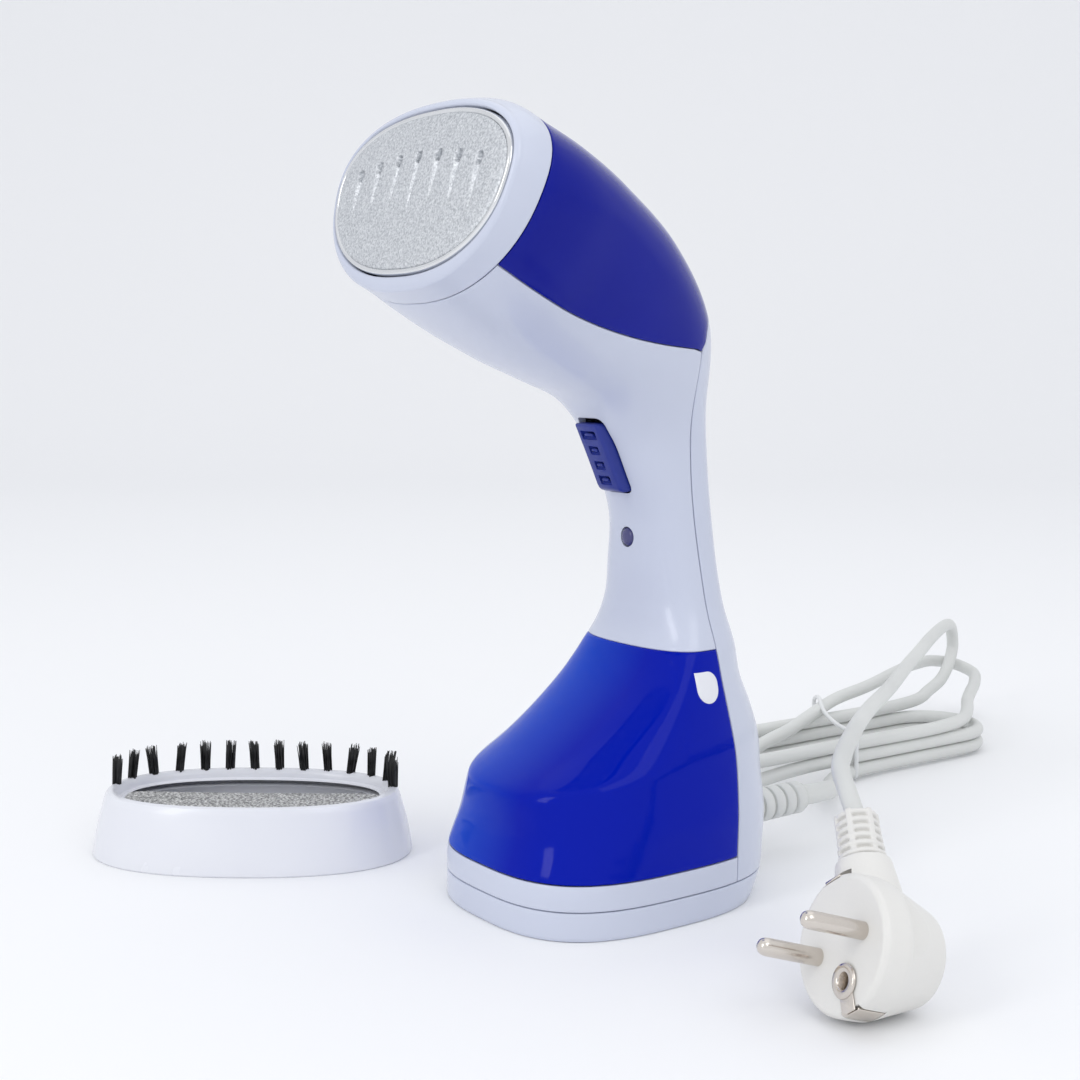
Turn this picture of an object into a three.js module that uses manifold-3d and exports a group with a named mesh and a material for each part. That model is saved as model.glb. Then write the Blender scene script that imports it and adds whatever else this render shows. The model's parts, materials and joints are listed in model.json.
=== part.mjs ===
// Handheld garment steamer, standing on its base, with its brush attachment and its mains lead.
// Millimetres, +Z up. The origin is the centre of the base's footprint on the floor.
// -Y is the front, where the steam plate and the water tank are; +Y is the back, where the lead leaves.
import * as THREE from 'three';
import { mergeVertices } from 'three/addons/utils/BufferGeometryUtils.js';
import Module from 'manifold-3d';

const wasm = await Module();
wasm.setup();

// ---------------------------------------------------------------- driving dimensions
const GAP = 0.3;                 // clearance between neighbouring solids
const WALL = 2.2;                // wall of the moulded shells
const TANK_WALL = 1.8;
const CAP_TOP = 9;               // split line between base cap and base band
const BAND_TOP = 17;             // bottom of the water tank
const TANK_TOP = 80;             // top of the water tank
const ROUND = 40;                // points around one body section
const FINE = 2;                  // sections per span of the body table
const WELD = 1e-4;               // corners nearer than this are one corner

// Steam plate: centre of its front face, how far its top leans back, and its half sizes.
const PLATE_CENTRE = new THREE.Vector3(0, -66.7, 216.9);
const PLATE_LEAN = THREE.MathUtils.degToRad(15.8);
const PLATE_HALF_WIDTH = 46;
const PLATE_HALF_HEIGHT = 24.3;
const PLATE_POWER = 2.34;        // power of the super-ellipse outline
const PLATE_EGG = 0.087;         // how much wider the outline is at its top
const PLATE_THICK = 4;
const VENT_COUNT = 7;
const VENT_PITCH = 10.7;
const VENT_RADIUS = 1.1;
const VENT_HEIGHT = 10;          // height of the middle vent over the plate's centre
const VENT_SAG = 3;              // how much lower the end vents are

// Trigger, lamp, filler stopper and tank outlet.
const TRIGGER_PIVOT = { y: 10.2, z: 127.2 };
const TRIGGER_HALF = 5.9;
const LAMP_Z = 113.7;
const LAMP_RADIUS = 3;
const STOPPER_Y = 18.8;
const STOPPER_Z = 69.6;
const STOPPER_HALF = 4.5;
const OUTLET_Z = 24;

// Mains lead.
const CORD_DIAMETER = 5.4;
const EXIT_Y = 51.3;             // outer face of the housing where the lead leaves
const EXIT_Z = 17.5;
const HANK_CENTRE = new THREE.Vector3(-72, 158, 1);
const HANK_LENGTH = 200;
const HANK_WIDTH = 44;
const HANK_HEIGHT = 16.6;
const TIE_Y = 180;
const TIE_THICK = 0.6;
const PIN_LENGTH = 19;
const PIN_RADIUS = 2.4;
const PIN_SPACING = 19;

// Body sections, from the floor to the steam plate. Each lies in a plane that holds the X direction and
// is tilted back by `tilt` degrees. front, back and side are its reach from the centre (y, z);
// frontPower and backPower shape its corners, and egg widens it towards its back.
// slope, slopeSide and blend describe the tank's sloping face, which cuts the section in front.
const SECTIONS = [
  { y: 0, z: 0, tilt: 0, front: 45.5, back: 45.5, side: 41, frontPower: 2.9, backPower: 2.8 },
  { y: 0, z: 9, tilt: 0, front: 45.5, back: 50.5, side: 41, frontPower: 2.9, backPower: 2.8 },
  { y: 0, z: 17, tilt: 0, front: 45, back: 51.5, side: 41, frontPower: 2.9, backPower: 2.8 },
  { y: 1, z: 28, tilt: 0, front: 43, back: 51.5, side: 40.3, frontPower: 2.6, backPower: 2.8,
    slope: 58, slopeSide: 49, blend: 1 },
  { y: 3, z: 40, tilt: 0, front: 44.5, back: 49.5, side: 38, frontPower: 2.3, backPower: 2.7,
    slope: 45.5, slopeSide: 42, blend: 3 },
  { y: 5, z: 50, tilt: 0, front: 43.5, back: 48, side: 36, frontPower: 2.25, backPower: 2.6,
    slope: 30, slopeSide: 36.6, blend: 3 },
  { y: 10, z: 60, tilt: 0, front: 34, back: 40.5, side: 33, frontPower: 2.2, backPower: 2.5,
    slope: 20, slopeSide: 33.8, blend: 3 },
  { y: 15, z: 70, tilt: 0, front: 23.5, back: 31.5, side: 30, frontPower: 2.2, backPower: 2.4,
    slope: 13.3, slopeSide: 31, blend: 3 },
  { y: 20, z: 80, tilt: 0, front: 12.5, back: 25, side: 27, frontPower: 2.3, backPower: 2.3,
    slope: 12.5, slopeSide: 28.5, blend: 2 },
  { y: 24, z: 92, tilt: 0, front: 13, back: 17, side: 22.5, frontPower: 2.3, backPower: 2.3,
    slope: 16, slopeSide: 28 },
  { y: 25, z: 105, tilt: 0, front: 14.5, back: 13.5, side: 20, frontPower: 2.3, backPower: 2.3,
    slope: 30, slopeSide: 40 },
  { y: 25, z: 120, tilt: 0, front: 15, back: 11.5, side: 18.5, frontPower: 2.3, backPower: 2.3 },
  { y: 23.5, z: 136, tilt: 4, front: 19.5, back: 11.5, side: 18, frontPower: 2.3, backPower: 2.3 },
  { y: 20, z: 152, tilt: 16, front: 22.5, back: 14.5, side: 19.5, frontPower: 2.3, backPower: 2.3 },
  { y: 11, z: 170, tilt: 34, front: 25, back: 25.5, side: 26.5, frontPower: 2.3, backPower: 2.3,
    egg: 0.02 },
  { y: -4, z: 188, tilt: 52, front: 32.5, back: 26, side: 34.5, frontPower: 2.3, backPower: 2.3,
    egg: 0.05 },
  { y: -24, z: 202, tilt: 65, front: 36.5, back: 25, side: 42, frontPower: 2.3, backPower: 2.3,
    egg: 0.08 },
  { y: -40, z: 208.5, tilt: 71, front: 35, back: 26.5, side: 47.5, frontPower: 2.3, backPower: 2.3,
    egg: 0.087 },
  { y: -52.3, z: 212.8, tilt: 74.2, front: 32.5, back: 27.5, side: 49.5, frontPower: 2.3,
    backPower: 2.3,
    egg: 0.087 },
  { y: -60, z: 215, tilt: 74.2, front: 30, back: 29, side: 49, frontPower: 2.3, backPower: 2.3,
    egg: 0.087 },
  { y: -66.7, z: 216.9, tilt: 74.2, front: 28.5, back: 26, side: 47.8, frontPower: 2.3, backPower: 2.3,
    egg: 0.087 },
];
const NO_SLOPE = 60;             // a slope this far out doesn't touch the section

// Split lines of the shells, as (y, z) points in the side view.
const REAR_SEAM = [[24.3, -5], [24.3, 22], [27, 45], [25.3, 80], [24.4, 101], [22.3, 126], [20.4, 155],
  [20, 172.3]];
const COVER_EDGE = [[-66, 196.5], [-49.5, 187.8], [-33, 181.4], [-17, 177], [-1, 174.2], [20, 172.3]];
const COVER_TAIL = [[21.8, 174.5], [23, 178], [34, 194]];
const BEZEL_SEAM = [[-77, 157.5], [-33, 281.5]];

// ---------------------------------------------------------------- solids
// A shape is a geometry or a solid; every shape can be cut, joined and turned.
const solidOf = shape => {
  if (shape instanceof wasm.Manifold) return shape;
  const plain = shape.clone();
  plain.deleteAttribute('normal');
  plain.deleteAttribute('uv');
  const welded = mergeVertices(plain, WELD);
  const index = welded.index.array;
  const faces = [];
  for (let i = 0; i < index.length; i += 3) {
    const [a, b, c] = index.slice(i, i + 3);
    if (a !== b && b !== c && c !== a) faces.push(a, b, c);
  }
  return new wasm.Manifold(new wasm.Mesh({
    numProp: 3,
    vertProperties: new Float32Array(welded.attributes.position.array),
    triVerts: new Uint32Array(faces),
  }));
};

const geometryOf = solid => {
  const mesh = solid.getMesh();
  const geometry = new THREE.BufferGeometry();
  geometry.setAttribute('position',
    new THREE.BufferAttribute(new Float32Array(mesh.vertProperties), 3));
  geometry.setIndex(new THREE.BufferAttribute(new Uint32Array(mesh.triVerts), 1));
  return geometry;
};

const cut = (body, ...tools) => tools.reduce((left, tool) => left.subtract(solidOf(tool)),
  solidOf(body));
const join = (body, ...others) => others.reduce((left, other) => left.add(solidOf(other)),
  solidOf(body));
const common = (body, tool) => solidOf(body).intersect(solidOf(tool));
const turned = (shape, matrix) => solidOf(shape).transform(matrix.elements);

// ---------------------------------------------------------------- placing
const box = (x0, x1, y0, y1, z0, z1) => new THREE.BoxGeometry(x1 - x0, y1 - y0, z1 - z0)
  .translate((x0 + x1) / 2, (y0 + y1) / 2, (z0 + z1) / 2);

// A round bar from one point to another.
const bar = (from, to, radius, sides = 12, endRadius = radius) => {
  const axis = to.clone().sub(from);
  const turn = new THREE.Quaternion().setFromUnitVectors(new THREE.Vector3(0, 1, 0),
    axis.clone().normalize());
  const middle = from.clone().add(to).multiplyScalar(0.5);
  return new THREE.CylinderGeometry(endRadius, radius, axis.length(), sides)
    .applyQuaternion(turn).translate(middle.x, middle.y, middle.z);
};
const at = (x, y, z) => new THREE.Vector3(x, y, z);

// A side-view outline of (y, z) points, extruded to both sides of the middle plane.
const sideView = new THREE.Matrix4().makeBasis(at(0, 1, 0), at(0, 0, 1), at(1, 0, 0));
const sidePrism = (points, halfWidth = 80, middle = 0) => {
  const shape = new THREE.Shape(points.map(([y, z]) => new THREE.Vector2(y, z)));
  return new THREE.ExtrudeGeometry(shape, { depth: 2 * halfWidth, bevelEnabled: false })
    .translate(0, 0, middle - halfWidth).applyMatrix4(sideView);
};

// A tube along a smooth curve through points.
const circleShape = (radius, sides) => {
  const corners = Array.from({ length: sides }, (_, i) => {
    const turn = (i + 0.5) / sides * 2 * Math.PI;
    return new THREE.Vector2(Math.cos(turn) * radius, Math.sin(turn) * radius);
  });
  return new THREE.Shape(corners);
};
const tube = (points, radius, steps, sides = 8) => new THREE.ExtrudeGeometry(circleShape(radius,
  sides), {
  steps,
  extrudePath: new THREE.CatmullRomCurve3(points.map(p => at(...p)), false, 'centripetal'),
});

// ---------------------------------------------------------------- the body's skin
const catmullRom = (a, b, c, d, t) => {
  const v0 = (c - a) / 2;
  const v1 = (d - b) / 2;
  return (2 * b - 2 * c + v0 + v1) * t ** 3 + (-3 * b + 3 * c - 2 * v0 - v1) * t ** 2 + v0 * t + b;
};

// The section at a place along the body: whole numbers are the rows of the table.
const sectionAt = place => {
  const row = Math.min(Math.floor(place), SECTIONS.length - 2);
  const near = [row - 1, row, row + 1, row + 2]
    .map(i => SECTIONS[Math.max(0, Math.min(SECTIONS.length - 1, i))])
    .map(s => ({ egg: 0, slope: NO_SLOPE, slopeSide: NO_SLOPE, blend: 0, ...s }));
  const mixed = {};
  for (const key of Object.keys(near[1])) {
    mixed[key] = catmullRom(...near.map(s => s[key]), place - row);
  }
  return mixed;
};

const SLOPE_POWER = 2.3;
const reach = (along, side, power, c, s) => (Math.abs(c / along) ** power + Math.abs(s / side) ** power)
  ** (-1 / power);

// A point of the skin, `inset` inside it, at an angle that is 0 at the back and half a turn in front.
const skinPoint = (section, angle, inset) => {
  const c = Math.cos(angle);
  const s = Math.sin(angle);
  const along = c < 0 ? section.front : section.back;
  let radius = reach(along, section.side, c < 0 ? section.frontPower : section.backPower, c, s);
  if (c < 0 && section.blend > 0.01) {
    const slope = reach(section.slope, section.slopeSide, SLOPE_POWER, c, s);
    const soften = Math.max(section.blend - Math.abs(radius - slope), 0) / section.blend;
    radius = Math.min(radius, slope) - soften ** 2 * section.blend / 4;
  }
  radius -= inset;
  const tilt = THREE.MathUtils.degToRad(section.tilt);
  return [
    radius * s * (1 + section.egg * radius * c / along),
    section.y + radius * c * Math.cos(tilt),
    section.z + radius * c * Math.sin(tilt),
  ];
};

// Closed solid through rings of points, its ends fanned to a point inside each.
const ringSolid = rings => {
  const count = rings[0].length;
  const middle = ring => ring.reduce((sum, p) => sum.map((v, i) => v + p[i] / count), [0, 0, 0]);
  const points = [...rings.flat(), middle(rings[0]), middle(rings[rings.length - 1])];
  const faces = [];
  for (let r = 0; r + 1 < rings.length; r += 1) {
    for (let i = 0; i < count; i += 1) {
      const j = (i + 1) % count;
      const [a, b, c, d] = [r * count + i, r * count + j, (r + 1) * count + j, (r + 1) * count + i];
      faces.push(a, b, c, a, c, d);
    }
  }
  const first = rings.length * count;
  const last = (rings.length - 1) * count;
  for (let i = 0; i < count; i += 1) {
    const j = (i + 1) % count;
    faces.push(first, j, i, first + 1, last + i, last + j);
  }
  const geometry = new THREE.BufferGeometry();
  geometry.setAttribute('position', new THREE.Float32BufferAttribute(points.flat(), 3));
  geometry.setIndex(faces);
  return geometry;
};

const bodySolid = (from, to, inset, perSpan = FINE, round = ROUND) => {
  const steps = Math.round((to - from) * perSpan);
  const rings = Array.from({ length: steps + 1 }, (_, k) => {
    const section = sectionAt(from + (to - from) * k / steps);
    return Array.from({ length: round }, (_, i) => skinPoint(section, -i / round * 2 * Math.PI, inset));
  });
  return ringSolid(rings);
};

// Short plugs that carry the inner solid past both ends of the outer one.
const innerEnds = () => [0, LAST].map(place => {
  const section = sectionAt(place);
  const tilt = THREE.MathUtils.degToRad(section.tilt);
  const normal = at(0, -Math.sin(tilt), Math.cos(tilt));
  const ring = shift => Array.from({ length: ROUND }, (_, i) => {
    const p = skinPoint(section, -i / ROUND * 2 * Math.PI, WALL);
    return [p[0], p[1] + normal.y * shift, p[2] + normal.z * shift];
  });
  return ringSolid([ring(-1), ring(1)]);
});

const LAST = SECTIONS.length - 1;
const OUTER = bodySolid(0, LAST, 0);
const INNER = join(bodySolid(0, LAST, WALL), ...innerEnds());
const SHELL = cut(OUTER, INNER);

// Split lines, moved by half the gap in y or z so that neighbours stay apart.
const moved = (points, dy, dz) => points.map(([y, z]) => [y + dy, z + dz]);
const HALF = GAP / 2;
const FAR = 200;
const coverEdgeStart = COVER_EDGE[0][1];
const tailEnd = COVER_TAIL[COVER_TAIL.length - 1];

const frontArea = sidePrism([...moved(REAR_SEAM, -HALF, 0), ...moved(COVER_EDGE.slice(0,
  -1).reverse(), 0, -HALF),
  [-FAR, coverEdgeStart - HALF], [-FAR, -5]]);
const rearArea = sidePrism([...moved(REAR_SEAM, HALF, 0), ...moved(COVER_TAIL, HALF, -HALF),
  [FAR, tailEnd[1] - HALF], [FAR, -5]]);
const coverArea = sidePrism([...moved(COVER_EDGE, 0, HALF), ...moved(COVER_TAIL, -HALF, HALF),
  [tailEnd[0] - HALF, 2 * FAR], [-FAR, 2 * FAR], [-FAR, coverEdgeStart + HALF]]);
const bezelSeam = offset => moved(BEZEL_SEAM, offset, 0);
const behindBezel = sidePrism([bezelSeam(HALF)[0], [bezelSeam(HALF)[0][0], -5], [FAR, -5], [FAR,
  2 * FAR],
  bezelSeam(HALF)[1]]);
const aheadOfBezel = sidePrism([bezelSeam(-HALF)[0], bezelSeam(-HALF)[1], [-FAR, 2 * FAR], [-FAR, 0]]);
const heightBand = (z0, z1) => box(-80, 80, -FAR, FAR, z0, z1);

// ---------------------------------------------------------------- outer shells
const makeBaseCap = () => cut(common(OUTER, heightBand(-5, CAP_TOP - HALF)),
  common(INNER, heightBand(WALL, FAR)), ...baseScrewHoles());

const makeBaseBand = () => common(common(SHELL, heightBand(CAP_TOP + HALF, BAND_TOP - HALF)),
  frontArea);

const makeFrontHousing = () => cut(
  common(common(common(SHELL, heightBand(TANK_TOP + HALF, 2 * FAR)), frontArea), behindBezel),
  triggerWindow(), lampHole(GAP), pinHole());

const makeRearHousing = () => cut(common(common(SHELL, heightBand(CAP_TOP + HALF, 2 * FAR)), rearArea),
  cordOpening(), ...housingScrewHoles());

const makeTopCover = () => common(common(SHELL, coverArea), behindBezel);

const makeBezel = () => {
  const ring = common(SHELL, aheadOfBezel);
  const rim = common(OUTER, headSlab(1, -3));
  return cut(join(ring, rim), plateSlab(3, -PLATE_THICK - 3, -GAP));
};

// ---------------------------------------------------------------- the head, in its own frame
// Local x is the object's X, local y runs up the plate and local z out of it.
const headTurn = new THREE.Matrix4().makeRotationX(Math.PI / 2 - PLATE_LEAN).setPosition(PLATE_CENTRE);
const inHead = shape => turned(shape, headTurn);
const headPoint = (x, y, z) => at(x, y, z).applyMatrix4(headTurn);

const eggOutline = (margin, sides = 40) => Array.from({ length: sides }, (_, i) => {
  const turn = i / sides * 2 * Math.PI;
  const c = Math.cos(turn);
  const s = Math.sin(turn);
  const halfHeight = PLATE_HALF_HEIGHT - margin;
  const y = Math.sign(s) * Math.abs(s) ** (2 / PLATE_POWER) * halfHeight;
  const x = Math.sign(c) * Math.abs(c) ** (2 / PLATE_POWER) * (PLATE_HALF_WIDTH - margin);
  return new THREE.Vector2(x * (1 + PLATE_EGG * y / halfHeight), y);
});

// Slabs between two depths along the plate's normal: one with the plate's outline, one that spans the head.
const plateSlab = (front, back, margin) =>
  inHead(new THREE.ExtrudeGeometry(new THREE.Shape(eggOutline(margin)),
  { depth: front - back, bevelEnabled: false }).translate(0, 0, back));
const headSlab = (front, back) => inHead(box(-60, 60, -40, 40, back, front));

const ventPlaces = Array.from({ length: VENT_COUNT }, (_, i) => {
  const k = i - (VENT_COUNT - 1) / 2;
  return [k * VENT_PITCH, VENT_HEIGHT - VENT_SAG * (k / 3) ** 2];
});

const makeSolePlate = () => cut(plateSlab(0.8, -PLATE_THICK + 0.8, 0),
  ...ventPlaces.map(([x, y]) => bar(headPoint(x, y, 5), headPoint(x, y, -8), VENT_RADIUS, 8)));

const CHAMBER_FRONT = -PLATE_THICK - 2.6;
const makePlateGasket = () => cut(plateSlab(-PLATE_THICK + 0.8 - GAP, CHAMBER_FRONT + GAP, 2.5),
  plateSlab(5, -20, 6.5));
const makeSteamChamber = () => cut(plateSlab(CHAMBER_FRONT, CHAMBER_FRONT - 9, 6),
  plateSlab(CHAMBER_FRONT + 5, CHAMBER_FRONT - 5, 10));
const makeChamberLid = () => join(plateSlab(CHAMBER_FRONT - 16.6, CHAMBER_FRONT - 19, 6),
  bar(headPoint(0, 0, CHAMBER_FRONT - 18), headPoint(0, 0, CHAMBER_FRONT - 23.4), 3));
const makeHeater = () => {
  const depth = CHAMBER_FRONT - 9 - 3.6;
  const arc = Array.from({ length: 13 }, (_, i) => {
    const turn = THREE.MathUtils.degToRad(-120 + i * 20);
    const p = headPoint(Math.sin(turn) * 27, Math.cos(turn) * 11, depth);
    return [p.x, p.y, p.z];
  });
  return tube(arc, 3.2, 20, 8);
};
const makeThermostat = () => join(
  bar(headPoint(-20, 0, CHAMBER_FRONT - 19.3), headPoint(-20, 0, CHAMBER_FRONT - 25), 7, 16),
  inHead(box(-26, -23.5, -2.5, 2.5, CHAMBER_FRONT - 31, CHAMBER_FRONT - 24)),
  inHead(box(-16.5, -14, -2.5, 2.5, CHAMBER_FRONT - 31, CHAMBER_FRONT - 24)));
const makeThermalFuse = () => bar(headPoint(20, -8, CHAMBER_FRONT - 22), headPoint(20, 8,
  CHAMBER_FRONT - 22), 2);

// ---------------------------------------------------------------- water tank
const makeWaterTank = () => {
  const region = margin => {
    const seam = REAR_SEAM.filter(([, z]) => z > BAND_TOP && z < TANK_TOP);
    const [low, high] = [BAND_TOP + HALF + margin, TANK_TOP - HALF - margin];
    const back = [[24.3, low], ...seam, [25.3, high]].map(([y, z]) => [y - HALF - margin, z]);
    return sidePrism([...back, [-FAR, high], [-FAR, low]]);
  };
  const cavity = common(bodySolid(1, 9, TANK_WALL), region(TANK_WALL));
  return cut(common(OUTER, region(0)), cavity, stopperPrism(5, 60, 0), bar(at(0, 15, OUTLET_Z),
    at(0, 40, OUTLET_Z), 4.5));
};

// The stopper in the side view: a square corner at its upper front, and round everywhere else.
const stopperPrism = (start, depth, margin) => {
  const r = STOPPER_HALF + margin;
  const outline = new THREE.Shape();
  outline.moveTo(-r, r);
  outline.lineTo(-r, -0.8);
  outline.absarc(0, -0.8, r, Math.PI, 2 * Math.PI, false);
  outline.lineTo(r, 0.6);
  outline.absarc(0.6, 0.6, r - 0.6, 0, Math.PI / 2, false);
  return new THREE.ExtrudeGeometry(outline, { depth, bevelEnabled: false, curveSegments: 5 })
    .translate(STOPPER_Y, STOPPER_Z, start).applyMatrix4(sideView);
};
const makeFillerStopper = () => join(
  common(cut(bodySolid(5, 9, 0), bodySolid(4, 10, 1.6)), stopperPrism(10, 30, -GAP)),
  bar(at(23.5, STOPPER_Y, STOPPER_Z - 0.5), at(28.4, STOPPER_Y, STOPPER_Z - 0.5), 2.6));

const ringAround = (y0, y1, inner, outer) => cut(bar(at(0, y0, OUTLET_Z), at(0, y1, OUTLET_Z),
  outer, 16),
  bar(at(0, y0 - 1, OUTLET_Z), at(0, y1 + 1, OUTLET_Z), inner, 16));
const makeTankOutlet = () => ringAround(20, 27.4, 2, 4.5 - GAP);
const makeTankSeal = () => ringAround(25.4, 27, 4.5, 6);
const makeTankFilter = () => bar(at(0, 19.7, OUTLET_Z), at(0, 16, OUTLET_Z), 3.4, 10);
const makeTankSocket = () => join(ringAround(25.7, 31, 6.3, 8), ringAround(29, 31, 1.5, 8));

// ---------------------------------------------------------------- handle
const triggerWindow = () => sidePrism([[-20, 151.6], [-20, 123.2], [12, 123.2], [14, 151.6]],
  TRIGGER_HALF + 2 * GAP);
const lampHole = margin => bar(at(0, 0, LAMP_Z), at(0, 20, LAMP_Z), LAMP_RADIUS + margin, 16);

const makeTrigger = () => {
  const pad = sidePrism([[-6.4, 149.8], [-4.4, 146.9], [-2.4, 142], [0.2, 136], [3.4, 129.4], [6.2,
    125.6],
    [9.5, 123.8], [13, 124.8], [13.2, 128.5], [9, 131], [5.4, 138], [2, 145], [-1, 150.2]],
      TRIGGER_HALF);
  const arm = sidePrism([[2, 139], [8.8, 138], [8.8, 143], [1.5, 144]], 2);
  return cut(join(pad, arm), pinHole());
};
const pinBar = (halfLength, radius) => bar(at(-halfLength, TRIGGER_PIVOT.y, TRIGGER_PIVOT.z),
  at(halfLength, TRIGGER_PIVOT.y, TRIGGER_PIVOT.z), radius);
const pinHole = () => pinBar(9, 1.3);
const makeTriggerPin = () => pinBar(8.5, 1);
const makeTriggerSpring = () => {
  const turns = 4;
  const perTurn = 8;
  const coil = Array.from({ length: turns * perTurn + 1 }, (_, i) => {
    const turn = i / perTurn * 2 * Math.PI;
    return [1.9 * Math.cos(turn), 2.8 + 5 * i / (turns * perTurn), 147 + 1.9 * Math.sin(turn)];
  });
  return tube(coil, 0.4, turns * 10, 6);
};

// Snap-action switch with its button towards the trigger.
const SWITCH = { y: 11.6, z: 140.6, halfHeight: 10 };
const makeMicroswitch = () => cut(
  box(-3.2, 3.2, SWITCH.y, SWITCH.y + 10, SWITCH.z - SWITCH.halfHeight, SWITCH.z + SWITCH.halfHeight),
  box(-1.2, 1.2, SWITCH.y - 1, SWITCH.y + 3, SWITCH.z - 1.6, SWITCH.z + 1.6));
const makeSwitchButton = () => box(-0.9, 0.9, SWITCH.y - 2.5, SWITCH.y + 0.8, SWITCH.z - 1.2,
  SWITCH.z + 1.2);

const makeLampLens = () => common(
  join(common(OUTER, bar(at(0, 0, LAMP_Z), at(0, 20, LAMP_Z), LAMP_RADIUS, 16)),
    bar(at(0, 13.4, LAMP_Z), at(0, 15.2, LAMP_Z), LAMP_RADIUS + 1.2, 16)),
  box(-10, 10, 0, 15.2, 100, 130));
const makeLampBoard = () => join(box(-6, 6, 19.4, 21, LAMP_Z - 7, LAMP_Z + 7),
  bar(at(0, 15.6, LAMP_Z), at(0, 20, LAMP_Z), 2, 10));

// ---------------------------------------------------------------- pump, hoses and wiring
const PUMP = { y: 38, z: 52 };
const pumpBar = (z0, z1, radius, sides = 12) => bar(at(0, PUMP.y, z0), at(0, PUMP.y, z1), radius,
  sides);
const makePumpCoil = () => cut(box(-13, 13, PUMP.y - 8, PUMP.y + 5, PUMP.z - 12, PUMP.z + 12),
  pumpBar(20, 90, 3.6));
const makePumpBody = () => cut(join(pumpBar(30, 74, 3.3), pumpBar(65, 71, 5.6)), pumpBar(20, 90,
  2.1, 10));
const makePumpPiston = () => pumpBar(46, 58, 1.7, 10);
const makeSuctionHose = () => tube([[0, 31.8, 24], [0, 34.5, 24.4], [0, 37.4, 26.6], [0, 38,
  29.4]], 2, 8);
const makeSteamHose = () => tube([[0, 38, 74.6], [1, 37.5, 82], [6, 33, 98], [6.5, 30.5, 120], [7,
  28, 140],
  [7, 25, 156], [6, 13, 172], [3, -10, 190], [0, -29, 204.5], headPoint(0, 0,
    CHAMBER_FRONT - 23.8).toArray()], 2.4, 30);
const makeTerminalBlock = () => box(10, 28, 30, 38, 24, 33);
const makeWiringLoom = () => tube([[-18, 40, 30], [-18, 38, 45], [-17.5, 33, 62], [-13, 30, 82],
  [-10, 28, 100],
  [-9.5, 27, 125], [-9.5, 25, 150], [-12, 13, 170], [-18, -6, 188], [-22, -16, 196]], 1.8, 26);

// ---------------------------------------------------------------- screws
const baseScrewPlaces = [[-26, -30], [26, -30], [-26, 30], [26, 30]];
const baseScrewHoles = () => baseScrewPlaces.flatMap(([x, y]) => [
  bar(at(x, y, -1), at(x, y, 1.2), 3.4, 16),
  bar(at(x, y, -1), at(x, y, 6), 1.8, 12)]);
const makeBaseScrew = ([x, y]) => join(bar(at(x, y, 0.4), at(x, y, 1.1), 3, 16), bar(at(x, y, 0.6),
  at(x, y, 9), 1.4, 10));

const housingScrewPlaces = [{ z: 96, y: 38 }, { z: 152, y: 31.5 }];
const housingScrewHoles = () => housingScrewPlaces.map(({ z }) => bar(at(0, 20, z), at(0, 60, z),
  3.4, 16));
const makeHousingScrew = ({ z, y }) => join(bar(at(0, y - 0.4, z), at(0, y - 2, z), 3, 16),
  bar(at(0, y - 1.5, z), at(0, y - 5.4, z), 1.5, 10));

// ---------------------------------------------------------------- mains lead
const cordOpening = () => bar(at(0, 40, EXIT_Z), at(0, 70, EXIT_Z), 5.6, 16);
const SLEEVE_END = 52;           // length of the strain relief outside the housing
const makeStrainRelief = () => {
  const profile = [[0, -6], [7.4, -6], [7.4, -3.2], [5.2, -3.2], [5.2, 0.8]];
  const ribs = 6;
  for (let rib = 0; rib < ribs; rib += 1) {
    const start = 1 + rib * 5.8;
    const radius = 6.2 - rib * 0.1;
    profile.push([radius, start], [radius, start + 4], [4.7, start + 4.4], [4.7, start + 5.4]);
  }
  profile.push([5.6, 36], [4, 37], [3.7, SLEEVE_END], [0, SLEEVE_END]);
  return new THREE.LatheGeometry(profile.map(p => new THREE.Vector2(...p)), 16).translate(0, EXIT_Y, 0)
    .applyMatrix4(new THREE.Matrix4().setPosition(0, 0, EXIT_Z));
};
const makeCordClamp = () => box(-11, 11, 36, 42, 20.5, 22.2);
const makeInnerCord = () => bar(at(0, 33, EXIT_Z), at(0, EXIT_Y - 6.3, EXIT_Z), CORD_DIAMETER / 2, 12);

// The lead's free stretches. The hank holds the rest.
const LEAD_OUT = [[-0.3, 105.2, 17.4], [-3, 111.5, 16.5], [-10, 118, 14], [-20, 125.5, 10.5], [-31,
  134, 7],
  [-41, 144, 4.8], [-46.8, 153, 4.4]];
const LEAD_LOOP = [[-93, 194, 20.8], [-97, 205, 21.5], [-102, 228, 23], [-110, 254, 25], [-117, 275, 25.4],
  [-120, 290, 24.8], [-115.5, 300, 23], [-105, 301, 20.4], [-95.5, 291.5, 18.4], [-87, 279, 17],
  [-79, 267.5, 16], [-75, 262.8, 15.6]];
const LEAD_TAIL = [[-94, 252, 15.6], [-99, 264, 17], [-105, 279, 19.4], [-111, 290.5, 23.6],
  [-114.5, 297.5, 31], [-112.5, 294.5, 39], [-106, 285, 44.4], [-97, 270.5, 46.2], [-82, 246, 46],
  [-66, 221, 45], [-49, 195, 44.5], [-22, 156, 44.5], [7, 115, 47], [36.7, 78, 51.5], [58.6, 51.9, 54.6],
  [73, 34.5, 55.4], [84, 22, 54.3], [92.6, 15.9, 51], [98.2, 13.5, 46]];
const makeLead = points => tube(points, CORD_DIAMETER / 2, Math.round(lengthOf(points) / 14), 8);
const lengthOf = points => new THREE.CatmullRomCurve3(points.map(p => at(...p)), false,
  'centripetal').getLength();

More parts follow.
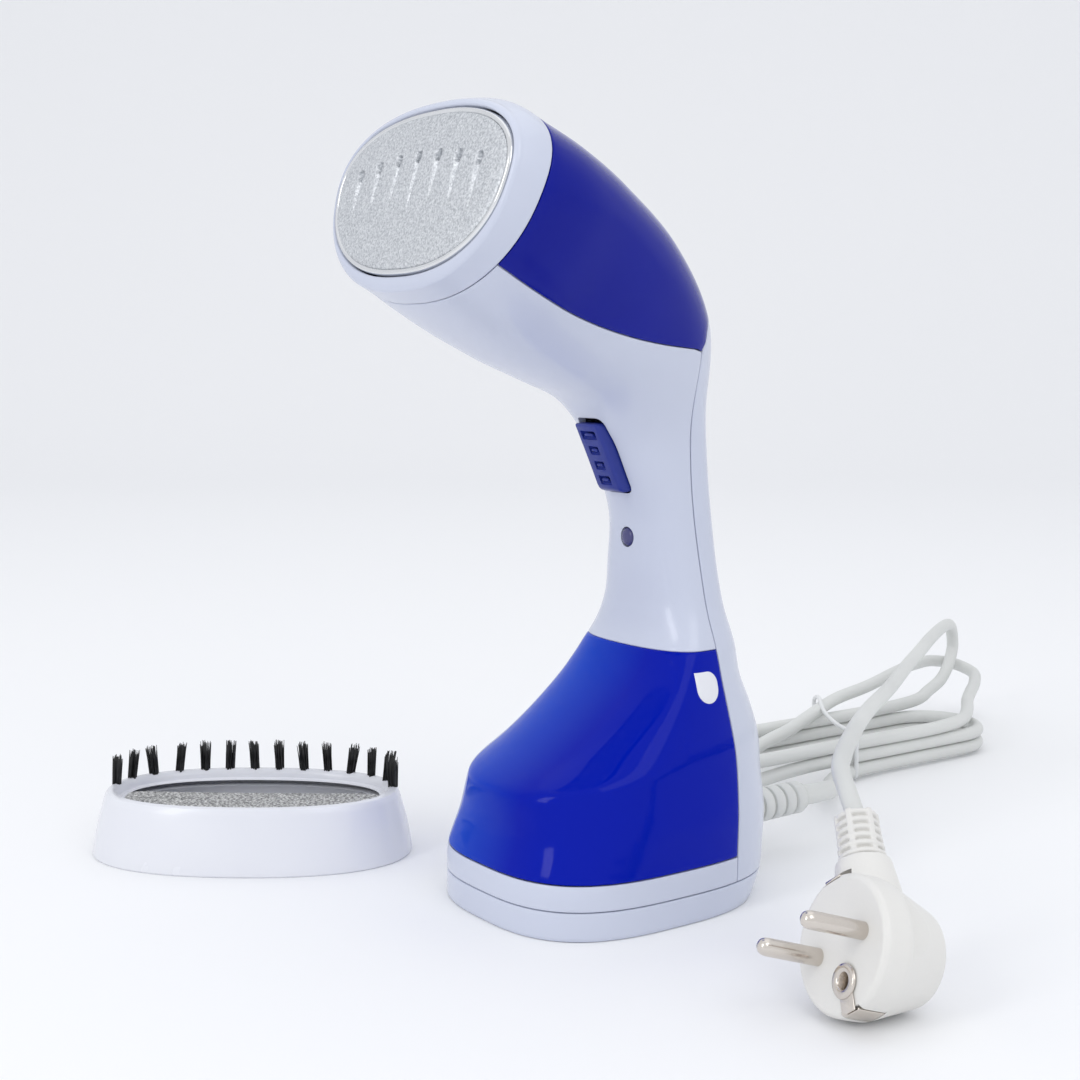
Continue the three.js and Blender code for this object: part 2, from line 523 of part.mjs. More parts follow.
const makeHank = () => {
  const outline = new THREE.Shape();
  const r = HANK_WIDTH / 2;
  const run = HANK_LENGTH / 2 - r;
  outline.absarc(0, run, r, 0, Math.PI, false);
  outline.absarc(0, -run, r, Math.PI, 2 * Math.PI, false);
  return new THREE.ExtrudeGeometry(outline, { depth: HANK_HEIGHT, bevelEnabled: false,
    curveSegments: 8 })
    .translate(HANK_CENTRE.x, HANK_CENTRE.y, HANK_CENTRE.z);
};
const makeCordTie = () => {
  const [halfWidth, y, low, high] = [HANK_WIDTH / 2 + GAP, TIE_Y, HANK_CENTRE.z - GAP,
    HANK_CENTRE.z + HANK_HEIGHT + GAP];
  return cut(box(HANK_CENTRE.x - halfWidth - TIE_THICK, HANK_CENTRE.x + halfWidth + TIE_THICK,
    y - 2, y + 2,
    low - TIE_THICK, high + TIE_THICK), box(HANK_CENTRE.x - halfWidth, HANK_CENTRE.x + halfWidth,
      y - 5, y + 5, low, high));
};

// ---------------------------------------------------------------- mains plug, in its own frame
// Local z is the direction of the pins, local y the direction in which the lead leaves the plug.
const PLUG_FACE = at(118.4, -12, 20.5);
const plugPins = at(-0.2, -0.93, 0.305).normalize();
const plugLead = at(-0.57, 0.36, 0.735).normalize();
const plugSide = plugLead.clone().cross(plugPins).normalize();
const plugTurn = new THREE.Matrix4().makeBasis(plugSide, plugPins.clone().cross(plugSide), plugPins)
  .setPosition(PLUG_FACE);
const inPlug = shape => turned(shape, plugTurn);
const LEAD_DEPTH = -12;          // how far behind the face the lead's axis lies
const makePlugBody = () => {
  const profile = [[0, -27], [9, -27], [13, -24], [18, -10], [18.6, -8], [18.6, -1.4], [17.4, 0],
    [0, 0]];
  const body = new THREE.LatheGeometry(profile.map(p => new THREE.Vector2(...p)),
    24).rotateX(Math.PI / 2);
  const neck = bar(at(0, 6, LEAD_DEPTH), at(0, 25, LEAD_DEPTH), 9, 16, 7.4);
  return inPlug(cut(join(body, neck), ...[-1, 1].map(side => bar(at(side * PIN_SPACING / 2, 0, -6),
    at(side * PIN_SPACING / 2, 0, 3), PIN_RADIUS + GAP)), bar(at(0, -10, -5), at(0, -10, 3), 3.6),
  box(-3.4, 3.4, 17.2, 20, -9, 3), box(-3.4, 3.4, -20, -17.2, -9, 3)));
};
const makePlugBoot = () => inPlug(bar(at(0, 25 + GAP, LEAD_DEPTH), at(0, 39, LEAD_DEPTH), 6.6, 16,
  5.8));
const makePlugPin = side => {
  const profile = [[0, -5.6], [PIN_RADIUS, -5.6], [PIN_RADIUS, PIN_LENGTH - 2], [1.4,
    PIN_LENGTH - 0.4], [0, PIN_LENGTH]];
  return inPlug(new THREE.LatheGeometry(profile.map(p => new THREE.Vector2(...p)), 14)
    .rotateX(Math.PI / 2).translate(side * PIN_SPACING / 2, 0, 0));
};
const makeEarthSocket = () => inPlug(cut(bar(at(0, -10, -4.6), at(0, -10, -0.2), 3.3), bar(at(0,
  -10, -3), at(0, -10, 3), 2.3)));
const makeEarthClip = side => inPlug(box(-3, 3, Math.min(side * 17.6, side * 18.4),
  Math.max(side * 17.6, side * 18.4),
  -8.6, -0.4));

// ---------------------------------------------------------------- brush attachment, in its own frame
// Local x is its length, local y points from the lint pad to the bristles.
const BRUSH_PLACE = new THREE.Matrix4()
  .makeRotationZ(THREE.MathUtils.degToRad(52.7))
  .setPosition(-106, -70, 0);
const BRUSH = { halfLength: 55, halfWidth: 33, height: 22, skin: 2, power: 2.3, flare: 4 };
const ovalRing = (halfLength, halfWidth, z, sides = 40) => Array.from({ length: sides }, (_, i) => {
  const turn = i / sides * 2 * Math.PI;
  const r = reach(halfLength, halfWidth, BRUSH.power, Math.cos(turn), Math.sin(turn));
  return [r * Math.cos(turn), r * Math.sin(turn), z];
});
const ovalSolid = (grow, z0, z1) => {
  const ring = z => {
    const shrink = grow - BRUSH.flare * z / BRUSH.height;
    return ovalRing(BRUSH.halfLength + shrink, BRUSH.halfWidth + shrink, z);
  };
  return ringSolid([ring(z0), ring((z0 + z1) / 2), ring(z1)]);
};
const inBrush = shape => turned(shape, BRUSH_PLACE);
const makeBrushFrame = () => {
  const window = common(ovalSolid(-9, 0, 30), box(-60, 60, 3, 40, 10, 30));
  return inBrush(cut(ovalSolid(0, 0, BRUSH.height), ovalSolid(-BRUSH.skin, -1, BRUSH.height - 3),
    window));
};
const makeLintPad = () => inBrush(common(ovalSolid(-6, BRUSH.height + GAP, BRUSH.height + 1.8),
  box(-60, 60, -40, 0, 0, 40)));
const TUFT = { count: 14, radius: 1.7, length: 11, pitch: 8.2 };
const makeBristles = () => {
  const inset = BRUSH.flare + 3.2;
  const top = BRUSH.height + GAP;
  const along = turn => {
    const r = reach(BRUSH.halfLength - inset, BRUSH.halfWidth - inset, BRUSH.power, Math.cos(turn),
      Math.sin(turn));
    return [r * Math.cos(turn), r * Math.sin(turn)];
  };
  const turns = Array.from({ length: TUFT.count }, (_, i) => THREE.MathUtils.degToRad(6 +
    168 * i / (TUFT.count - 1)));
  const places = turns.map(along);
  const strip = new THREE.ExtrudeGeometry(new THREE.Shape([[-0.4, -1.2], [0.4, -1.2], [0.4, 1.2],
    [-0.4, 1.2]]
    .map(p => new THREE.Vector2(...p))), {
    steps: 28,
    extrudePath: new THREE.CatmullRomCurve3(places.map(([x, y]) => at(x, y, top + 0.6))),
  });
  return inBrush(join(strip, ...places.map(([x, y]) => bar(at(x, y, top + 0.3), at(x * 1.02,
    y * 1.03, top + TUFT.length),
    TUFT.radius, 8))));
};

// ---------------------------------------------------------------- assembly
const colours = {
  white: { color: 0xd9def0, roughness: 0.3, metalness: 0 },
  blue: { color: 0x101c86, roughness: 0.15, metalness: 0 },
  tankBlue: { color: 0x0b35c8, roughness: 0.12, metalness: 0 },
  trigger: { color: 0x27318f, roughness: 0.35, metalness: 0 },
  lamp: { color: 0x55548a, roughness: 0.3, metalness: 0 },
  cast: { color: 0xa9acb2, roughness: 0.45, metalness: 0.9 },
  steel: { color: 0xb9b6b0, roughness: 0.3, metalness: 1 },
  nickel: { color: 0xbcb1a4, roughness: 0.2, metalness: 1 },
  copper: { color: 0xa5562a, roughness: 0.4, metalness: 1 },
  silicone: { color: 0xdcdcdc, roughness: 0.6, metalness: 0 },
  black: { color: 0x161618, roughness: 0.6, metalness: 0 },
  board: { color: 0x1d5c34, roughness: 0.5, metalness: 0 },
  lead: { color: 0xdfe1e0, roughness: 0.5, metalness: 0 },
  pad: { color: 0xb9b9b6, roughness: 0.7, metalness: 0.2 },
};

const steamer = new THREE.Group();
const add = (name, colour, shape) => {
  const mesh = new THREE.Mesh(geometryOf(solidOf(shape)),
    new THREE.MeshStandardMaterial(colours[colour]));
  mesh.name = name;
  steamer.add(mesh);
};

add('base_cap', 'white', makeBaseCap());
add('base_band', 'white', makeBaseBand());
add('front_housing', 'white', makeFrontHousing());
add('rear_housing', 'white', makeRearHousing());
add('top_cover', 'blue', makeTopCover());
add('head_bezel', 'white', makeBezel());
add('sole_plate', 'cast', makeSolePlate());
add('plate_gasket', 'black', makePlateGasket());
add('steam_chamber', 'cast', makeSteamChamber());
add('heating_element', 'steel', makeHeater());
add('chamber_lid', 'cast', makeChamberLid());
add('thermostat', 'black', makeThermostat());
add('thermal_fuse', 'silicone', makeThermalFuse());
add('water_tank', 'tankBlue', makeWaterTank());
add('filler_stopper', 'white', makeFillerStopper());
add('tank_outlet', 'white', makeTankOutlet());
add('tank_seal', 'black', makeTankSeal());
add('tank_filter', 'white', makeTankFilter());
add('tank_socket', 'white', makeTankSocket());
add('trigger', 'trigger', makeTrigger());
add('trigger_pin', 'steel', makeTriggerPin());
add('trigger_spring', 'steel', makeTriggerSpring());
add('microswitch', 'black', makeMicroswitch());
add('switch_button', 'white', makeSwitchButton());
add('lamp_lens', 'lamp', makeLampLens());
add('lamp_board', 'board', makeLampBoard());
add('pump_coil', 'copper', makePumpCoil());
add('pump_body', 'white', makePumpBody());
add('pump_piston', 'steel', makePumpPiston());
add('suction_hose', 'silicone', makeSuctionHose());
add('steam_hose', 'silicone', makeSteamHose());
add('terminal_block', 'white', makeTerminalBlock());
add('wiring_loom', 'black', makeWiringLoom());
baseScrewPlaces.forEach((place, i) => add(`base_screw_${i + 1}`, 'steel', makeBaseScrew(place)));
housingScrewPlaces.forEach((place, i) => add(`housing_screw_${i + 1}`, 'steel',
  makeHousingScrew(place)));
add('cord_clamp', 'white', makeCordClamp());
add('inner_cord', 'lead', makeInnerCord());
add('strain_relief', 'lead', makeStrainRelief());
add('lead_out', 'lead', makeLead(LEAD_OUT));
add('lead_hank', 'lead', makeHank());
add('lead_loop', 'lead', makeLead(LEAD_LOOP));
add('lead_tail', 'lead', makeLead(LEAD_TAIL));
add('lead_tie', 'white', makeCordTie());
add('plug_body', 'lead', makePlugBody());
add('plug_boot', 'lead', makePlugBoot());
add('plug_pin_1', 'nickel', makePlugPin(-1));
add('plug_pin_2', 'nickel', makePlugPin(1));
add('earth_socket', 'nickel', makeEarthSocket());
add('earth_clip_1', 'nickel', makeEarthClip(-1));
add('earth_clip_2', 'nickel', makeEarthClip(1));
add('brush_frame', 'white', makeBrushFrame());
add('lint_pad', 'pad', makeLintPad());
add('bristles', 'black', makeBristles());

export default steamer;
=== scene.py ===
"""Handheld garment steamer: the visual model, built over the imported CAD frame.

Sizes are written in millimetres and turned into metres when a mesh is made.
+Z is up, -Y is the front and the origin is the centre of the base's underside.
"""
import json
import math
import random

import bmesh
import bpy
from mathutils import Matrix, Vector
from mathutils.noise import noise


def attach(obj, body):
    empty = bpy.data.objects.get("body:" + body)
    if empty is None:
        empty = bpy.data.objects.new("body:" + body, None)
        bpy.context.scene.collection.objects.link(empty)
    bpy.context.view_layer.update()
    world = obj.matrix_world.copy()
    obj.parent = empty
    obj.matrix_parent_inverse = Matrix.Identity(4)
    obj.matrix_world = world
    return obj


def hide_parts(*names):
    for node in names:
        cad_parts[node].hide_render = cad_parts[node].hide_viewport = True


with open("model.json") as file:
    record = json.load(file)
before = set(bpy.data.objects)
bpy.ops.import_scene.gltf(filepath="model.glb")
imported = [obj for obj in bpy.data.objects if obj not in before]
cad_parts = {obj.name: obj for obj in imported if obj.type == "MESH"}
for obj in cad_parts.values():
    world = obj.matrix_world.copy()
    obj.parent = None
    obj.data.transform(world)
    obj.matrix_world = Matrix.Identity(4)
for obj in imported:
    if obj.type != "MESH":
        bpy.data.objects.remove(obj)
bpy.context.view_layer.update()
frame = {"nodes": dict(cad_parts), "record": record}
MM = 0.001
random.seed(7)

# ---------------------------------------------------------------- driving dimensions
GAP = 0.3
WALL = 2.2
WALL_EDGE = 0.35
CAP_TOP = 9
BAND_TOP = 17
TANK_TOP = 80
CORD_DIAMETER = 5.4
EXIT = Vector((0, 51.3, 17.5))
SLEEVE_LENGTH = 52
LEAD_START = 46
LEAD_STEP = 2.5
HANK = {"x": -72, "near": 80, "far": 236, "radius": 19.3, "layers": (3.8, 9.3, 14.8)}
TIE_Y = 189
TIE_SLANT = 0.49
TIE_RADIUS = 0.9

# Body sections from the base to the head: y, z, tilt, front, back, side, front power, back power, egg,
# slope, slope side, blend. They are the CAD model's, but with smaller blends from z 40 to z 80.
FAR_OFF = 60
SECTIONS = [
    (0, 0, 0, 45.5, 45.5, 41, 2.9, 2.8, 0, FAR_OFF, FAR_OFF, 0),
    (0, 9, 0, 45.5, 50.5, 41, 2.9, 2.8, 0, FAR_OFF, FAR_OFF, 0),
    (0, 17, 0, 45, 51.5, 41, 2.9, 2.8, 0, FAR_OFF, FAR_OFF, 0),
    (1, 28, 0, 43, 51.5, 40.3, 2.6, 2.8, 0, 58, 49, 1),
    (3, 40, 0, 44.5, 49.5, 38, 2.3, 2.7, 0, 45.5, 42, 1.5),
    (5, 50, 0, 43.5, 48, 36, 2.25, 2.6, 0, 30, 36.6, 1.5),
    (10, 60, 0, 34, 40.5, 33, 2.2, 2.5, 0, 20, 33.8, 1.5),
    (15, 70, 0, 23.5, 31.5, 30, 2.2, 2.4, 0, 13.3, 31, 1.5),
    (20, 80, 0, 12.5, 25, 27, 2.3, 2.3, 0, 12.5, 28.5, 1),
    (24, 92, 0, 13, 17, 22.5, 2.3, 2.3, 0, 16, 28, 0),
    (25, 105, 0, 14.5, 13.5, 20, 2.3, 2.3, 0, 30, 40, 0),
    (25, 120, 0, 15, 11.5, 18.5, 2.3, 2.3, 0, FAR_OFF, FAR_OFF, 0),
    (23.5, 136, 4, 19.5, 11.5, 18, 2.3, 2.3, 0, FAR_OFF, FAR_OFF, 0),
    (20, 152, 16, 22.5, 14.5, 19.5, 2.3, 2.3, 0, FAR_OFF, FAR_OFF, 0),
    (11, 170, 34, 25, 25.5, 26.5, 2.3, 2.3, 0.02, FAR_OFF, FAR_OFF, 0),
    (-4, 188, 52, 32.5, 26, 34.5, 2.3, 2.3, 0.05, FAR_OFF, FAR_OFF, 0),
    (-24, 202, 65, 36.5, 25, 42, 2.3, 2.3, 0.08, FAR_OFF, FAR_OFF, 0),
    (-40, 208.5, 71, 35, 26.5, 47.5, 2.3, 2.3, 0.087, FAR_OFF, FAR_OFF, 0),
    (-52.3, 212.8, 74.2, 32.5, 27.5, 49.5, 2.3, 2.3, 0.087, FAR_OFF, FAR_OFF, 0),
    (-60, 215, 74.2, 30, 29, 49, 2.3, 2.3, 0.087, FAR_OFF, FAR_OFF, 0),
    (-66.7, 216.9, 74.2, 28.5, 26, 47.8, 2.3, 2.3, 0.087, FAR_OFF, FAR_OFF, 0),
]
LAST = len(SECTIONS) - 1
SLOPE_POWER = 2.3

# Split lines in the side view, (y, z).
REAR_SEAM = [(24.3, -5), (24.3, 22), (27, 45), (25.3, 80), (24.4, 101), (22.3, 126), (20.4, 155),
             (20, 172.3)]
COVER_EDGE = [(20, 172.3), (-1, 174.2), (-17, 177), (-33, 181.4), (-49.5, 187.8), (-66, 196.5), (-90, 212)]
BEZEL_SEAM = [(-77, 157.5), (-33, 281.5)]
# The top cover's rear edge, (z, y).
COVER_TAIL = [(172.3, 20), (174.5, 21.8), (178, 23), (194, 34), (230, 58)]

# Steam plate.
PLATE_CENTRE = Vector((0, -66.7, 216.9))
PLATE_LEAN = math.radians(15.8)
PLATE_HALF_WIDTH = 46
PLATE_HALF_HEIGHT = 24.3
PLATE_POWER = 2.34
PLATE_EGG = 0.087

# The lead's free stretches.
LEAD_OUT = [(-0.3, 105.2, 17.4), (-3, 111.5, 16.5), (-10, 118, 14), (-20, 125.5, 10.5), (-31, 134, 7),
            (-41, 144, 4.8), (-46.8, 153, 4.4)]
LEAD_LOOP = [(-93, 194, 20.8), (-97, 205, 21.5), (-102, 228, 23), (-110, 254, 25), (-117, 275, 25.4),
             (-120, 290, 24.8), (-115.5, 300, 23), (-105, 301, 20.4), (-95.5, 291.5, 18.4), (-87, 279, 17),
             (-79, 267.5, 16)]
LEAD_TAIL = [(-94, 252, 15.6), (-99, 264, 17), (-105, 279, 19.4), (-111, 290.5, 23.6), (-114.5, 297.5, 31),
             (-112.5, 294.5, 39), (-106, 285, 44.4), (-97, 270.5, 46.2), (-82, 246, 46), (-66, 221, 45),
             (-49, 195, 44.5), (-22, 156, 44.5), (7, 115, 47), (36.7, 78, 51.5), (58.6, 51.9, 54.6),
             (73, 34.5, 55.4), (84, 22, 54.3), (92.6, 15.9, 51), (98.2, 13.5, 46)]
LEAD_CROSSING = [(-53.4, 88, 9.8), (-58, 103, 11.8), (-66, 122, 14.2), (-74, 142, 15.4), (-81, 160, 16),
                 (-87, 177, 18.4)]

# ---------------------------------------------------------------- camera
CAMERA_PLACE = Vector((416.3, -317.3, 174.2))
CAMERA_YAW = math.radians(54.75)
CAMERA_PITCH = math.radians(6.633)
CAMERA_LENS = 56.15
CAMERA_SENSOR = 36


def make_camera():
    data = bpy.data.cameras.new("view")
    data.lens = CAMERA_LENS
    data.sensor_width = CAMERA_SENSOR
    data.clip_start = 0.01
    camera = bpy.data.objects.new("view", data)
    bpy.context.scene.collection.objects.link(camera)
    camera.location = CAMERA_PLACE * MM
    camera.rotation_euler = (math.pi / 2 - CAMERA_PITCH, 0, CAMERA_YAW)
    bpy.context.scene.camera = camera


# ---------------------------------------------------------------- curves
def catmull_rom(a, b, c, d, t):
    v0 = (c - a) / 2
    v1 = (d - b) / 2
    return (2 * b - 2 * c + v0 + v1) * t ** 3 + (-3 * b + 3 * c - 2 * v0 - v1) * t ** 2 + v0 * t + b


def smooth_path(points, step):
    """Points about `step` apart along a centripetal Catmull-Rom curve through the given points."""
    points = [Vector(p) for p in points]
    line = [points[0] * 2 - points[1]] + points + [points[-1] * 2 - points[-2]]
    path = []
    for p0, p1, p2, p3 in zip(line, line[1:], line[2:], line[3:]):
        t1 = (p1 - p0).length ** 0.5
        t2 = t1 + (p2 - p1).length ** 0.5
        t3 = t2 + (p3 - p2).length ** 0.5
        count = max(1, round((p2 - p1).length / step))
        for k in range(count):
            t = t1 + (t2 - t1) * k / count
            a1 = p0 * ((t1 - t) / t1) + p1 * (t / t1)
            a2 = p1 * ((t2 - t) / (t2 - t1)) + p2 * ((t - t1) / (t2 - t1))
            a3 = p2 * ((t3 - t) / (t3 - t2)) + p3 * ((t - t2) / (t3 - t2))
            b1 = a1 * ((t2 - t) / t2) + a2 * (t / t2)
            b2 = a2 * ((t3 - t) / (t3 - t1)) + a3 * ((t - t1) / (t3 - t1))
            path.append(b1 * ((t2 - t) / (t2 - t1)) + b2 * ((t - t1) / (t2 - t1)))
    return path + [points[-1]]


# ---------------------------------------------------------------- the mains lead
def hank_fold(end, height, start, steps=14):
    """Half a turn round one end of the hank. start is 1 from its right-hand run, -1 from its left."""
    y, side = (HANK["far"], 1) if end == "far" else (HANK["near"], -1)
    turns = [math.pi * k / steps for k in range(steps + 1)]
    radius = HANK["radius"]
    return [(HANK["x"] + start * radius * math.cos(a), y + side * radius * math.sin(a), height)
            for a in turns]


def lead_route():
    low, middle, high = HANK["layers"]
    right, left = HANK["x"] + HANK["radius"], HANK["x"] - HANK["radius"]
    route = [(0, EXIT.y + LEAD_START, EXIT.z)] + LEAD_OUT
    route += [(-51, 166, 4), (right, 182, low), (right, 210, low)]
    route += hank_fold("far", low, 1) + [(left, 158, low)] + hank_fold("near", low, -1)
    route += [(right, 100, low + 1.2), (right, 120, low + 3.6), (right, 140, middle - 0.4)]
    route += [(right, 165, middle), (right, 200, middle)]
    route += hank_fold("far", middle, 1) + [(left, 158, middle)]
    route += hank_fold("near", middle, -1) + LEAD_CROSSING + LEAD_LOOP
    route += [(-66, 252, 15.4), (-56.5, 238, 15), (right, 222, high), (right, 158, high)]
    route += hank_fold("near", high, 1) + [(left, 158, high), (left, 225, high)] + LEAD_TAIL
    return route


def curve_object(name, points, radius, resolution=6):
    data = bpy.data.curves.new(name, "CURVE")
    data.dimensions = "3D"
    spline = data.splines.new("POLY")
    spline.points.add(len(points) - 1)
    for spot, p in zip(spline.points, points):
        spot.co = (p[0] * MM, p[1] * MM, p[2] * MM, 1)
    data.bevel_depth = radius * MM
    data.bevel_resolution = resolution
    data.use_fill_caps = True
    piece = bpy.data.objects.new(name, data)
    bpy.context.scene.collection.objects.link(piece)
    return piece


def path_length(points):
    return sum((b - a).length for a, b in zip(points, points[1:]))


def make_lead():
    path = smooth_path(lead_route(), LEAD_STEP)
    lead = curve_object("mains_lead", path, CORD_DIAMETER / 2)
    lead.data.materials.append(LEAD)
    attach(lead, "body")
    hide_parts("lead_out", "lead_hank", "lead_loop", "lead_tail")
    return lead, path_length(path) * MM


def make_tie():
    """A twist tie round the hank and the run that lies on it."""
    right, left = -48.6, -95.3
    ring = [(-60, 1.05), (-84, 1.05), (left + 0.6, 2.2), (left, 8), (left - 0.6, 16), (-97, 22), (-92, 24.6),
            (-86, 20.5), (-74, 18.4), (-56, 18.5), (right - 0.8, 17.6), (right, 12), (right, 5),
            (right - 1, 1.7)]
    turn = [(x, TIE_Y - (x - left) * TIE_SLANT, z) for x, z in ring]
    tie = curve_object("twist_tie", smooth_path(turn + [turn[0]], 1), TIE_RADIUS, 3)
    tie.data.materials.append(TIE)
    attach(tie, "body")
    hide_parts("lead_tie")
    return tie


# ---------------------------------------------------------------- materials
class Nodes:
    """Small helper round a material's node tree."""

    def __init__(self, name):
        self.material = bpy.data.materials.new(name)
        self.material.use_nodes = True
        self.tree = self.material.node_tree
        self.shader = self.tree.nodes["Principled BSDF"]
        self.place = self.tree.nodes.new("ShaderNodeTexCoord").outputs["Object"]

    def set(self, **values):
        for key, value in values.items():
            self.shader.inputs[key.replace("_", " ")].default_value = value
        return self

    def noise(self, scale, detail=3.0, roughness=0.5):
        node = self.tree.nodes.new("ShaderNodeTexNoise")
        node.inputs["Scale"].default_value = scale
        node.inputs["Detail"].default_value = detail
        node.inputs["Roughness"].default_value = roughness
        self.tree.links.new(self.place, node.inputs["Vector"])
        return node.outputs["Fac"]

    def cells(self, scale):
        node = self.tree.nodes.new("ShaderNodeTexVoronoi")
        node.feature = "F1"
        node.inputs["Scale"].default_value = scale
        self.tree.links.new(self.place, node.inputs["Vector"])
        return node.outputs["Distance"]

    def ramp(self, factor, low, high, at=(0.3, 0.7)):
        node = self.tree.nodes.new("ShaderNodeValToRGB")
        for element, where, colour in zip(node.color_ramp.elements, at, (low, high)):
            element.position = where
            element.color = (*colour, 1)
        self.tree.links.new(factor, node.inputs["Fac"])
        return node.outputs["Color"]

    def spread(self, factor, low, high):
        node = self.tree.nodes.new("ShaderNodeMapRange")
        node.inputs["To Min"].default_value = low
        node.inputs["To Max"].default_value = high
        self.tree.links.new(factor, node.inputs["Value"])
        return node.outputs["Result"]

    def bump(self, height, strength, distance):
        node = self.tree.nodes.new("ShaderNodeBump")
        node.inputs["Strength"].default_value = strength
        node.inputs["Distance"].default_value = distance
        self.tree.links.new(height, node.inputs["Height"])
        self.tree.links.new(node.outputs["Normal"], self.shader.inputs["Normal"])

    def link(self, output, name):
        self.tree.links.new(output, self.shader.inputs[name])


def moulded(name, low, high, roughness, grain=0.05, **values):
    """Moulded plastic: slight tone and gloss changes and a very fine surface texture."""
    n = Nodes(name).set(**values)
    n.link(n.ramp(n.noise(14, 2), low, high), "Base Color")
    n.link(n.spread(n.noise(60, 4), *roughness), "Roughness")
    n.bump(n.noise(1400, 2), grain, 0.0002)
    return n.material


def metal(name, low, high, roughness=(0.2, 0.32)):
    """Plain metal with slight tone and gloss changes."""
    n = Nodes(name).set(Metallic=1.0)
    n.link(n.ramp(n.noise(40, 4), low, high), "Base Color")
    n.link(n.spread(n.noise(120, 4), *roughness), "Roughness")
    n.bump(n.noise(500, 3), 0.05, 0.0003)
    return n.material


def cast_plate():
    """Fine-grained cast aluminium with a sparkle of small pits."""
    n = Nodes("cast_plate").set(Metallic=0.9)
    sparkle = n.ramp(n.noise(1500, 5, 0.7), (0.44, 0.46, 0.49), (0.83, 0.85, 0.87), (0.36, 0.62))
    n.link(sparkle, "Base Color")
    n.link(n.spread(n.noise(700, 4), 0.32, 0.5), "Roughness")
    n.bump(n.noise(1300, 5, 0.75), 0.55, 0.0004)
    return n.material


def lint_fabric():
    """Silver-grey directional pile: small bright and dark tufts."""
    n = Nodes("lint_fabric").set(Metallic=0.25, Roughness=0.6)
    n.set(Sheen_Weight=0.4)
    n.link(n.ramp(n.cells(900), (0.75, 0.75, 0.74), (0.16, 0.16, 0.16), (0.15, 0.7)), "Base Color")
    n.bump(n.cells(900), 0.9, 0.0008)
    return n.material


def tank_plastic():
    """Slightly translucent blue, with painted light: the blue is painted lighter towards -X."""
    n = Nodes("tank_plastic").set(Transmission_Weight=0.12, IOR=1.2)
    split = n.tree.nodes.new("ShaderNodeSeparateXYZ")
    n.tree.links.new(n.place, split.inputs["Vector"])
    across = n.tree.nodes.new("ShaderNodeMapRange")
    across.inputs["From Min"].default_value = 0.03
    across.inputs["From Max"].default_value = -0.035
    n.tree.links.new(split.outputs["X"], across.inputs["Value"])
    # painted light: the base colour goes from deep blue at +X to lighter blue at -X, standing in for how light
    # falls on the tank
    painted_side_light = n.ramp(across.outputs["Result"], (0.0, 0.010, 0.40), (0.0, 0.075, 0.62), (0.25, 0.95))
    n.link(painted_side_light, "Base Color")
    n.link(n.spread(n.noise(40, 3), 0.05, 0.1), "Roughness")
    n.bump(n.noise(60, 2), 0.04, 0.0006)
    return n.material


WHITE = moulded("white_plastic", (0.53, 0.565, 0.68), (0.58, 0.615, 0.725), (0.2, 0.28), Coat_Weight=0.2,
                Specular_IOR_Level=0.4)
BLUE = moulded("blue_plastic", (0.002, 0.006, 0.22), (0.004, 0.010, 0.27), (0.12, 0.18), 0.03, IOR=1.25)
TRIGGER = moulded("trigger_plastic", (0.013, 0.026, 0.22), (0.018, 0.034, 0.27), (0.3, 0.4),
                  Specular_IOR_Level=0.35)
LAMP = moulded("lamp_plastic", (0.05, 0.05, 0.16), (0.07, 0.07, 0.2), (0.15, 0.25))
BLACK = moulded("black_plastic", (0.006, 0.006, 0.007), (0.012, 0.012, 0.013), (0.35, 0.5))
RUBBER = moulded("black_rubber", (0.008, 0.008, 0.009), (0.014, 0.014, 0.015), (0.6, 0.75))
SILICONE = moulded("silicone", (0.6, 0.6, 0.6), (0.7, 0.7, 0.7), (0.5, 0.6))
BOARD = moulded("circuit_board", (0.01, 0.09, 0.03), (0.015, 0.12, 0.045), (0.35, 0.5))
LEAD = moulded("lead_plastic", (0.62, 0.63, 0.615), (0.69, 0.70, 0.68), (0.42, 0.55), 0.12)
PLUG = moulded("plug_plastic", (0.70, 0.69, 0.665), (0.76, 0.75, 0.72), (0.36, 0.48), 0.15)
TIE = moulded("tie_plastic", (0.68, 0.69, 0.69), (0.76, 0.77, 0.77), (0.35, 0.45))
BRUSH_WHITE = moulded("brush_plastic", (0.72, 0.73, 0.78), (0.78, 0.79, 0.83), (0.22, 0.3), Coat_Weight=0.2)
TUFT = moulded("bristle_nylon", (0.004, 0.004, 0.004), (0.012, 0.012, 0.013), (0.3, 0.45))
CAST = cast_plate()
RIM = metal("polished_rim", (0.72, 0.73, 0.74), (0.82, 0.83, 0.84), (0.12, 0.2))
STEEL = metal("steel", (0.5, 0.49, 0.47), (0.62, 0.61, 0.6))
NICKEL = metal("nickel", (0.62, 0.57, 0.52), (0.74, 0.69, 0.63), (0.16, 0.26))
COPPER = metal("copper", (0.5, 0.2, 0.09), (0.6, 0.26, 0.12))
TANK = tank_plastic()
LINT = lint_fabric()

SLOT_MATERIALS = {
    "white_plastic": WHITE, "blue_plastic": BLUE, "tank_plastic": TANK, "trigger_plastic": TRIGGER,
    "lamp_plastic": LAMP, "cast_aluminium": CAST, "steel": STEEL, "black_plastic": BLACK,
    "black_rubber": RUBBER, "silicone": SILICONE, "copper": COPPER, "circuit_board": BOARD,
    "lead_plastic": LEAD, "nickel": NICKEL, "lint_fabric": LINT,
}


# ---------------------------------------------------------------- mesh helpers
def mesh_object(name, points, faces):
    data = bpy.data.meshes.new(name)
    data.from_pydata([Vector(p) * MM for p in points], [], faces)
    data.validate()
    data.update()
    piece = bpy.data.objects.new(name, data)
    bpy.context.scene.collection.objects.link(piece)
    data.shade_smooth()
    return piece


